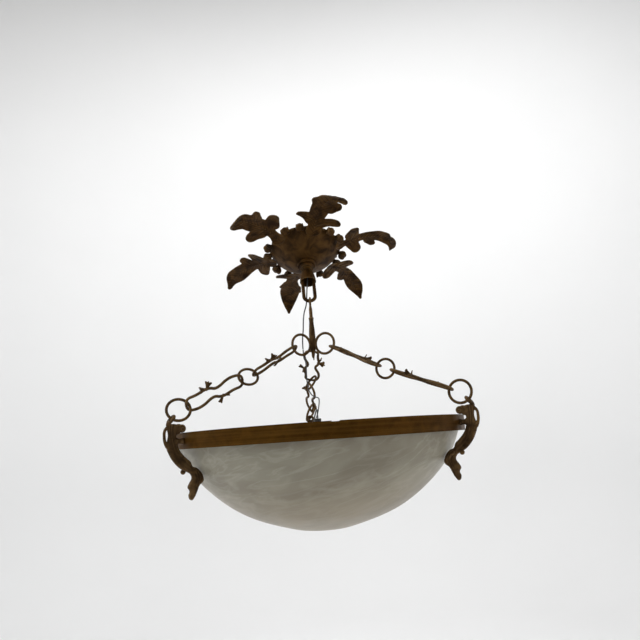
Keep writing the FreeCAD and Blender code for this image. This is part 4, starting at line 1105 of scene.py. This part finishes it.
@dataclass
class BowlArm:
    """Cast scroll arm, drawn in mm as (distance outside the hoop, height from its top edge)."""

    thickness: float = 0.0095
    edge: float = 0.0034
    voxel: float = 0.0006
    outline: tuple[Point2, ...] = (
        (9.5, 12.0), (14.0, 14.5), (19.5, 15.0), (23.5, 19.5), (27.0, 16.0), (26.0, 6.0), (24.8, -3.0),
        (26.5, -12.0), (28.0, -20.0), (23.5, -34.0), (14.5, -48.0), (4.0, -57.5), (-4.0, -61.5),
        (-10.5, -66.0), (-12.5, -72.0), (-8.5, -79.0), (-5.5, -86.0), (-8.5, -92.0), (-6.5, -99.0),
        (-10.5, -106.0), (-15.5, -102.0), (-20.5, -93.0), (-25.0, -84.0), (-31.5, -78.5), (-32.0, -73.0),
        (-28.5, -64.0), (-21.0, -56.5), (-14.0, -53.5), (-11.0, -46.5), (-5.0, -41.0), (4.0, -31.5),
        (10.0, -20.0), (11.5, -6.0), (10.0, 5.0))
    bridge: tuple[Point2, ...] = (
        (2.5, 4.6), (12.0, -2.0), (12.0, 12.5), (2.5, 12.0))
    bridge_thickness: float = 0.00665
    scroll_at: Point2 = (2.5, 6.6)
    scroll_r: float = 6.6
    scroll_wire: float = 0.0013
    scroll_proud: float = 0.0004
    strand: tuple[Point2, ...] = (
        (26.0, -22.0), (30.0, -14.0), (31.2, -4.0), (30.0, 4.5), (25.0, 9.5))
    strand_r: float = 0.0024
    eye_at: Point3 = (19.34, 21.10, 0.0)
    eye_r: float = 0.0071
    eye_wire: float = 0.0027
    eye_lean: float = 40.0
    pin_level: float = -0.013
    pin: tuple[Point2, ...] = (
        (0.0, 0.2), (5.5, 0.2), (5.5, 2.2), (4.4, 3.4), (4.4, 8.4), (5.8, 10.5), (5.8, 13.0), (0.0, 13.0))
    ball_at: Point2 = (0.0, -61.5)
    ball_r: float = 0.0042
    side_leaf: tuple[Point2, ...] = (
        (-17.0, -58.0), (-12.0, -60.0), (-20.0, -68.0), (-29.0, -78.0), (-31.0, -72.0), (-24.0, -66.0))
    side_leaf_thickness: float = 0.005
    side_leaf_proud: float = 0.001
    groove_depth: float = 0.0010
    groove_width: float = 0.0011
    grooves: list[list[Point2]] = field(default_factory=lambda: [
        [(17.5, 12.0), (18.5, 0.0), (17.0, -14.0), (12.0, -29.0), (4.0, -42.0), (-8.0, -53.0),
         (-18.0, -62.0)],
        [(22.0, 12.0), (22.5, -4.0), (20.5, -19.0), (15.0, -34.0), (6.0, -48.0), (-6.0, -58.5)],
        [(-20.0, -62.0), (-24.0, -72.0), (-20.0, -84.0), (-15.0, -98.0)],
        [(-24.0, -62.0), (-28.5, -72.0), (-23.0, -84.0)], [(-17.0, -66.0), (-20.0, -74.0), (-16.0, -86.0)]])

    def on_scroll(self, radius: float, angle: float) -> Point2:
        """Point at a radius and angle about the scroll's middle."""
        return self.scroll_at[0] + radius * math.cos(angle), self.scroll_at[1] + radius * math.sin(angle)

    def spiral(self) -> list[Point2]:
        """Line of the scroll, wound into its boss."""
        line = []
        for step in range(25):
            share = step / 24
            angle = math.radians(40.0 + 470.0 * share)
            radius = self.scroll_r * (0.86 - 0.78 * share)
            line.append(self.on_scroll(radius, angle))
        return line

    def cast(self) -> Obj:
        """The arm in the XZ plane of a chain at azimuth 0, X measured from the plumb axis."""
        plates = [plate("arm_body", metres(self.outline), self.thickness, self.edge),
                  plate("arm_bridge", metres(self.bridge), self.bridge_thickness, 0.0012),
                  plate("arm_leaf", metres(self.side_leaf), self.side_leaf_thickness, 0.0016)]
        place(plates[2], Matrix.Translation((0.0, 0.0, self.thickness / 2 + self.side_leaf_proud)))
        boss = [self.on_scroll(self.scroll_r, math.radians(30 * k)) for k in range(12)]
        plates.append(plate("arm_boss", metres(boss), self.thickness, 0.0018))
        for face in (-1.0, 1.0):
            rise = face * (self.thickness / 2 + self.scroll_proud)
            line = [(*point, rise) for point in metres(self.spiral())]
            plates.append(wire("scroll", line, self.scroll_wire))
        plates.append(wire("strand", [(*point, 0.0) for point in metres(self.strand)], self.strand_r,
                           radii=[1.4, 1.1, 1.0, 1.0, 1.3]))
        ball_x, ball_y = metres([self.ball_at])[0]
        plates.append(ball("arm_ball", self.ball_r, (ball_x, ball_y, self.thickness / 2)))
        upright = turned(90.0, "Y")
        lean = turned(self.eye_lean, "Z")
        eye_at = Matrix.Translation(metres([self.eye_at])[0])
        plates.append(hoop("arm_eye", self.eye_r, self.eye_wire, eye_at @ lean @ upright))
        pin = lathe("arm_pin", metres(self.pin), 32)
        plates.append(place(pin, Matrix.Translation((0.0, self.pin_level, 0.0)) @ upright))
        arm = join("bowl_arm_cast", plates)
        place(arm, Matrix.Translation((BAND_R, 0.0, 0.0)) @ turned(90.0, "X"))
        return arm

    def build(self, finishes: Finishes) -> None:
        """Cast one arm, chase it and set a copy at the foot of each chain."""
        arm = self.cast()
        cast_together(arm, self.voxel, 3)
        shifted = [[(x * MM + BAND_R, z * MM) for x, z in line] for line in self.grooves]
        engrave(arm, shifted, self.groove_depth, self.groove_width, (0, 2))
        LOG.info("arm cast with %d vertices", len(arm.data.vertices))
        shade(arm, 60.0)
        for side, azimuth in SIDES.items():
            copy = twin(arm, f"bowl_arm_{side}_cast")
            place(copy, BOWL_PLACE @ turned(azimuth, "Z"))
            hand_over(copy, finishes.chain, "bowl", "patinated_bronze", "bowl_arm_" + side)
        bpy.data.objects.remove(arm)


class Flex:
    """The three runs of thin flex, each one soft spline along its route."""

    radius = 0.0012
    canopy_route = [(0.0, 17.0, 123.7), (0.0, 0.0, 123.7), (0.0, 0.0, 105.0), (0.6, 0.4, 84.0),
                    (0.0, -0.2, 64.0), (-0.8, 0.8, 47.0), (-3.2, 2.0, 32.0),
                    (-4.4, 3.2, 19.0), (-5.6, 5.0, 7.0)]
    stem_route = [(-12.2, 6.4, 212.0), (-14.8, 6.6, 195.0), (-15.8, 6.4, 178.0), (-18.2, 7.0, 163.0),
                  (-18.6, 7.6, 152.0), (-18.6, 7.6, 142.0)]
    stem_lead = 10.0
    joint_gap = 0.9
    bowl_route = [(-18.6, 7.6, 141.1), (-18.0, 10.5, 130.0), (-15.5, 22.0, 124.0), (-13.0, 40.0, 120.0),
                  (-12.0, 60.0, 111.0), (-11.5, 82.0, 98.0), (-10.0, 102.0, 86.0), (-7.0, 120.0, 73.0),
                  (-1.0, 135.0, 64.5), (7.5, 149.0, 60.5), (14.5, 163.0, 60.5), (17.0, 179.0, 56.5),
                  (17.0, 194.0, 49.0), (15.5, 205.5, 37.0), (12.0, 209.0, 23.5), (4.5, 205.0, 12.5),
                  (-3.5, 192.0, 6.0), (-8.0, 174.0, 3.2), (-7.0, 150.0, 3.4), (-4.0, 124.0, 3.0),
                  (-3.5, 97.0, 3.6), (-5.0, 71.0, 6.5), (-3.5, 46.0, 15.0), (-1.5, 25.0, 25.5),
                  (0.0, 8.0, 31.0), (0.0, 0.0, 23.0), (0.0, 0.0, 6.0)]
    lengths = {"canopy": 0.131, "stem": 0.0953, "bowl": 0.496}

    def routes(self) -> dict[str, list[Vector]]:
        """Route of each run in the frame, in metres."""
        canopy = [CANOPY_PLACE @ Vector(point) for point in metres(self.canopy_route)]
        heading = (canopy[-1] - canopy[-2]).normalized()
        start = canopy[-1] + heading * self.joint_gap * MM
        stem = [start, start + heading * self.stem_lead * MM]
        stem += [BOWL_PLACE @ Vector(point) for point in metres(self.stem_route)]
        bowl = [BOWL_PLACE @ Vector(point) for point in metres(self.bowl_route)]
        return {"canopy": canopy, "stem": stem, "bowl": bowl}

    def build(self, finishes: Finishes) -> None:
        for body, route in self.routes().items():
            curve = new_curve("flex_" + body + "_run", 10, self.radius, 4)
            curve.use_fill_caps = True
            control_spline(curve, [(*point, 1.0) for point in route]).use_endpoint_u = True
            run = new_object("flex_" + body + "_run", curve)
            hand_over(run, finishes.plain["flex_sheath"], body, "flex_sheath", "flex_" + body)


class Fittings:
    """Pieces whose made shape is right already and that only need their finish."""

    plain_nodes = {"zinc_steel": ("ceiling_strap", "threaded_tube", "tube_nuts"),
                   "white_nylon": ("terminal_block",), "screw_brass": ("rim_screws",),
                   "spider_brass": ("lamp_spider", "lamp_hub"), "black_nylon": ("cord_grip",)}
    lamp_nodes = {"black_phenolic": "lampholder", "cap_metal": "bulb_cap", "frosted_glass": "bulb_glass"}

    def build(self, finishes: Finishes) -> None:
        """Finish the metal, stone and lamp parts."""
        looks = {"rim_band": finishes.band, "alabaster_bowl": finishes.alabaster,
                 "canopy_collar": finishes.bronze, "loop_bell": finishes.bronze}
        for side in SIDES:
            looks["ring_middle_" + side] = finishes.chain
            looks["ring_end_" + side] = finishes.chain
        for name, nodes in self.plain_nodes.items():
            looks |= {node: finishes.plain[name] for node in nodes}
        for name, stem in self.lamp_nodes.items():
            looks |= {f"{stem}_{number}": finishes.plain[name] for number in (1, 2, 3)}
        for node, finish in looks.items():
            dress(bpy.data.objects[node], finish)
            LOG.info("%s finished in %s", node, finish.name)


@dataclass
class Studio:
    """Camera, pale cove and soft lights."""

    camera_at: Point3 = (-0.0753, -1.1976, -0.025)      # from the plumb axis and the hoop's top edge
    heading: float = 4.38
    pitch: float = 10.354
    roll: float = 3.95
    lens: float = 36.61
    floor_level: float = -1.6
    cove_r: float = 4.5
    wall_top: float = 4.0

    def camera(self) -> None:
        """Set the camera at the photo's angle."""
        data = bpy.data.cameras.new("photo_camera")
        data.sensor_width = 36.0
        data.lens = self.lens
        data.clip_start = 0.02
        data.clip_end = 50.0
        turn, tilt, roll = (math.radians(angle) for angle in (self.heading, self.pitch, self.roll))
        ahead = Vector((math.sin(turn) * math.cos(tilt), math.cos(turn) * math.cos(tilt), math.sin(tilt)))
        right = Vector((math.cos(turn), -math.sin(turn), 0.0))
        up = right.cross(ahead)
        cosine, sine = math.cos(roll), math.sin(roll)
        right, up = right * cosine - up * sine, right * sine + up * cosine
        camera = new_object("photo_camera", data)
        pose = Matrix((right, up, -ahead)).transposed().to_4x4()
        camera.matrix_world = Matrix.Translation(BOWL_PLACE @ Vector(self.camera_at)) @ pose
        bpy.context.scene.camera = camera

    def cove(self, mottle: Tree) -> None:
        """Round pale cove whose floor sweeps up into its wall."""
        sweep = 0.9
        profile = [(0.0, self.floor_level), (self.cove_r - sweep, self.floor_level)]
        for step in range(1, 9):
            angle = math.radians(90.0 * step / 8)
            profile.append((self.cove_r - sweep + sweep * math.sin(angle),
                            self.floor_level + sweep * (1 - math.cos(angle))))
        profile.append((self.cove_r, self.wall_top))
        cove = lathe("studio_cove", profile, 96)
        shade(cove, 60.0)
        pale = PlainFinish("pale_plaster", (0.86, 0.86, 0.86), (0.82, 0.82, 0.82), 0.8, 0.0, 0.8, 0.4, 0.02)
        dress(cove, pale.make(mottle))

    def light(self, name: str, at: Point3, aim: Point3, size: float, power: float,
              colour: Point3 = (1.0, 1.0, 1.0)) -> None:
        """Hang one square soft light and aim it."""
        data = bpy.data.lights.new(name, "AREA")
        data.shape = "SQUARE"
        data.size = size
        data.energy = power
        data.color = colour
        lamp = new_object(name, data)
        lamp.location = at
        lamp.rotation_euler = (Vector(aim) - Vector(at)).to_track_quat("-Z", "Y").to_euler()

    def build(self, mottle: Tree) -> None:
        """Set the whole studio."""
        self.camera()
        self.cove(mottle)
        self.light("wall_wash", (0.4, 1.6, 2.4), (0.2, 4.5, 0.0), 3.0, 92.0)
        self.light("left_window", (-2.6, -0.6, 1.9), (0.0, 0.0, -0.4), 1.6, 62.0, (0.95, 0.98, 1.0))
        self.light("right_bounce", (2.4, -1.6, 0.2), (0.0, 0.0, -0.4), 1.8, 10.0, (1.0, 0.96, 0.9))
        world = bpy.data.worlds.new("soft_room")
        world.use_nodes = True
        world.node_tree.nodes["Background"].inputs["Color"].default_value = (1.0, 0.985, 0.96, 1.0)
        world.node_tree.nodes["Background"].inputs["Strength"].default_value = 0.19
        bpy.context.scene.world = world
        bpy.context.scene.view_settings.view_transform = "Standard"


def main() -> None:
    """Build every class in order."""
    logging.basicConfig(level=logging.INFO, format="%(message)s")
    finishes = Finishes()
    Studio().build(finishes.mottle)
    Flex().build(finishes)
    Dome().build(finishes)
    for leaf in LEAVES:
        leaf.build(finishes)
    DropStem().build(finishes)
    ChainLink().build(finishes)
    BowlArm().build(finishes)
    Fittings().build(finishes)


if __name__ == "__main__":
    main()
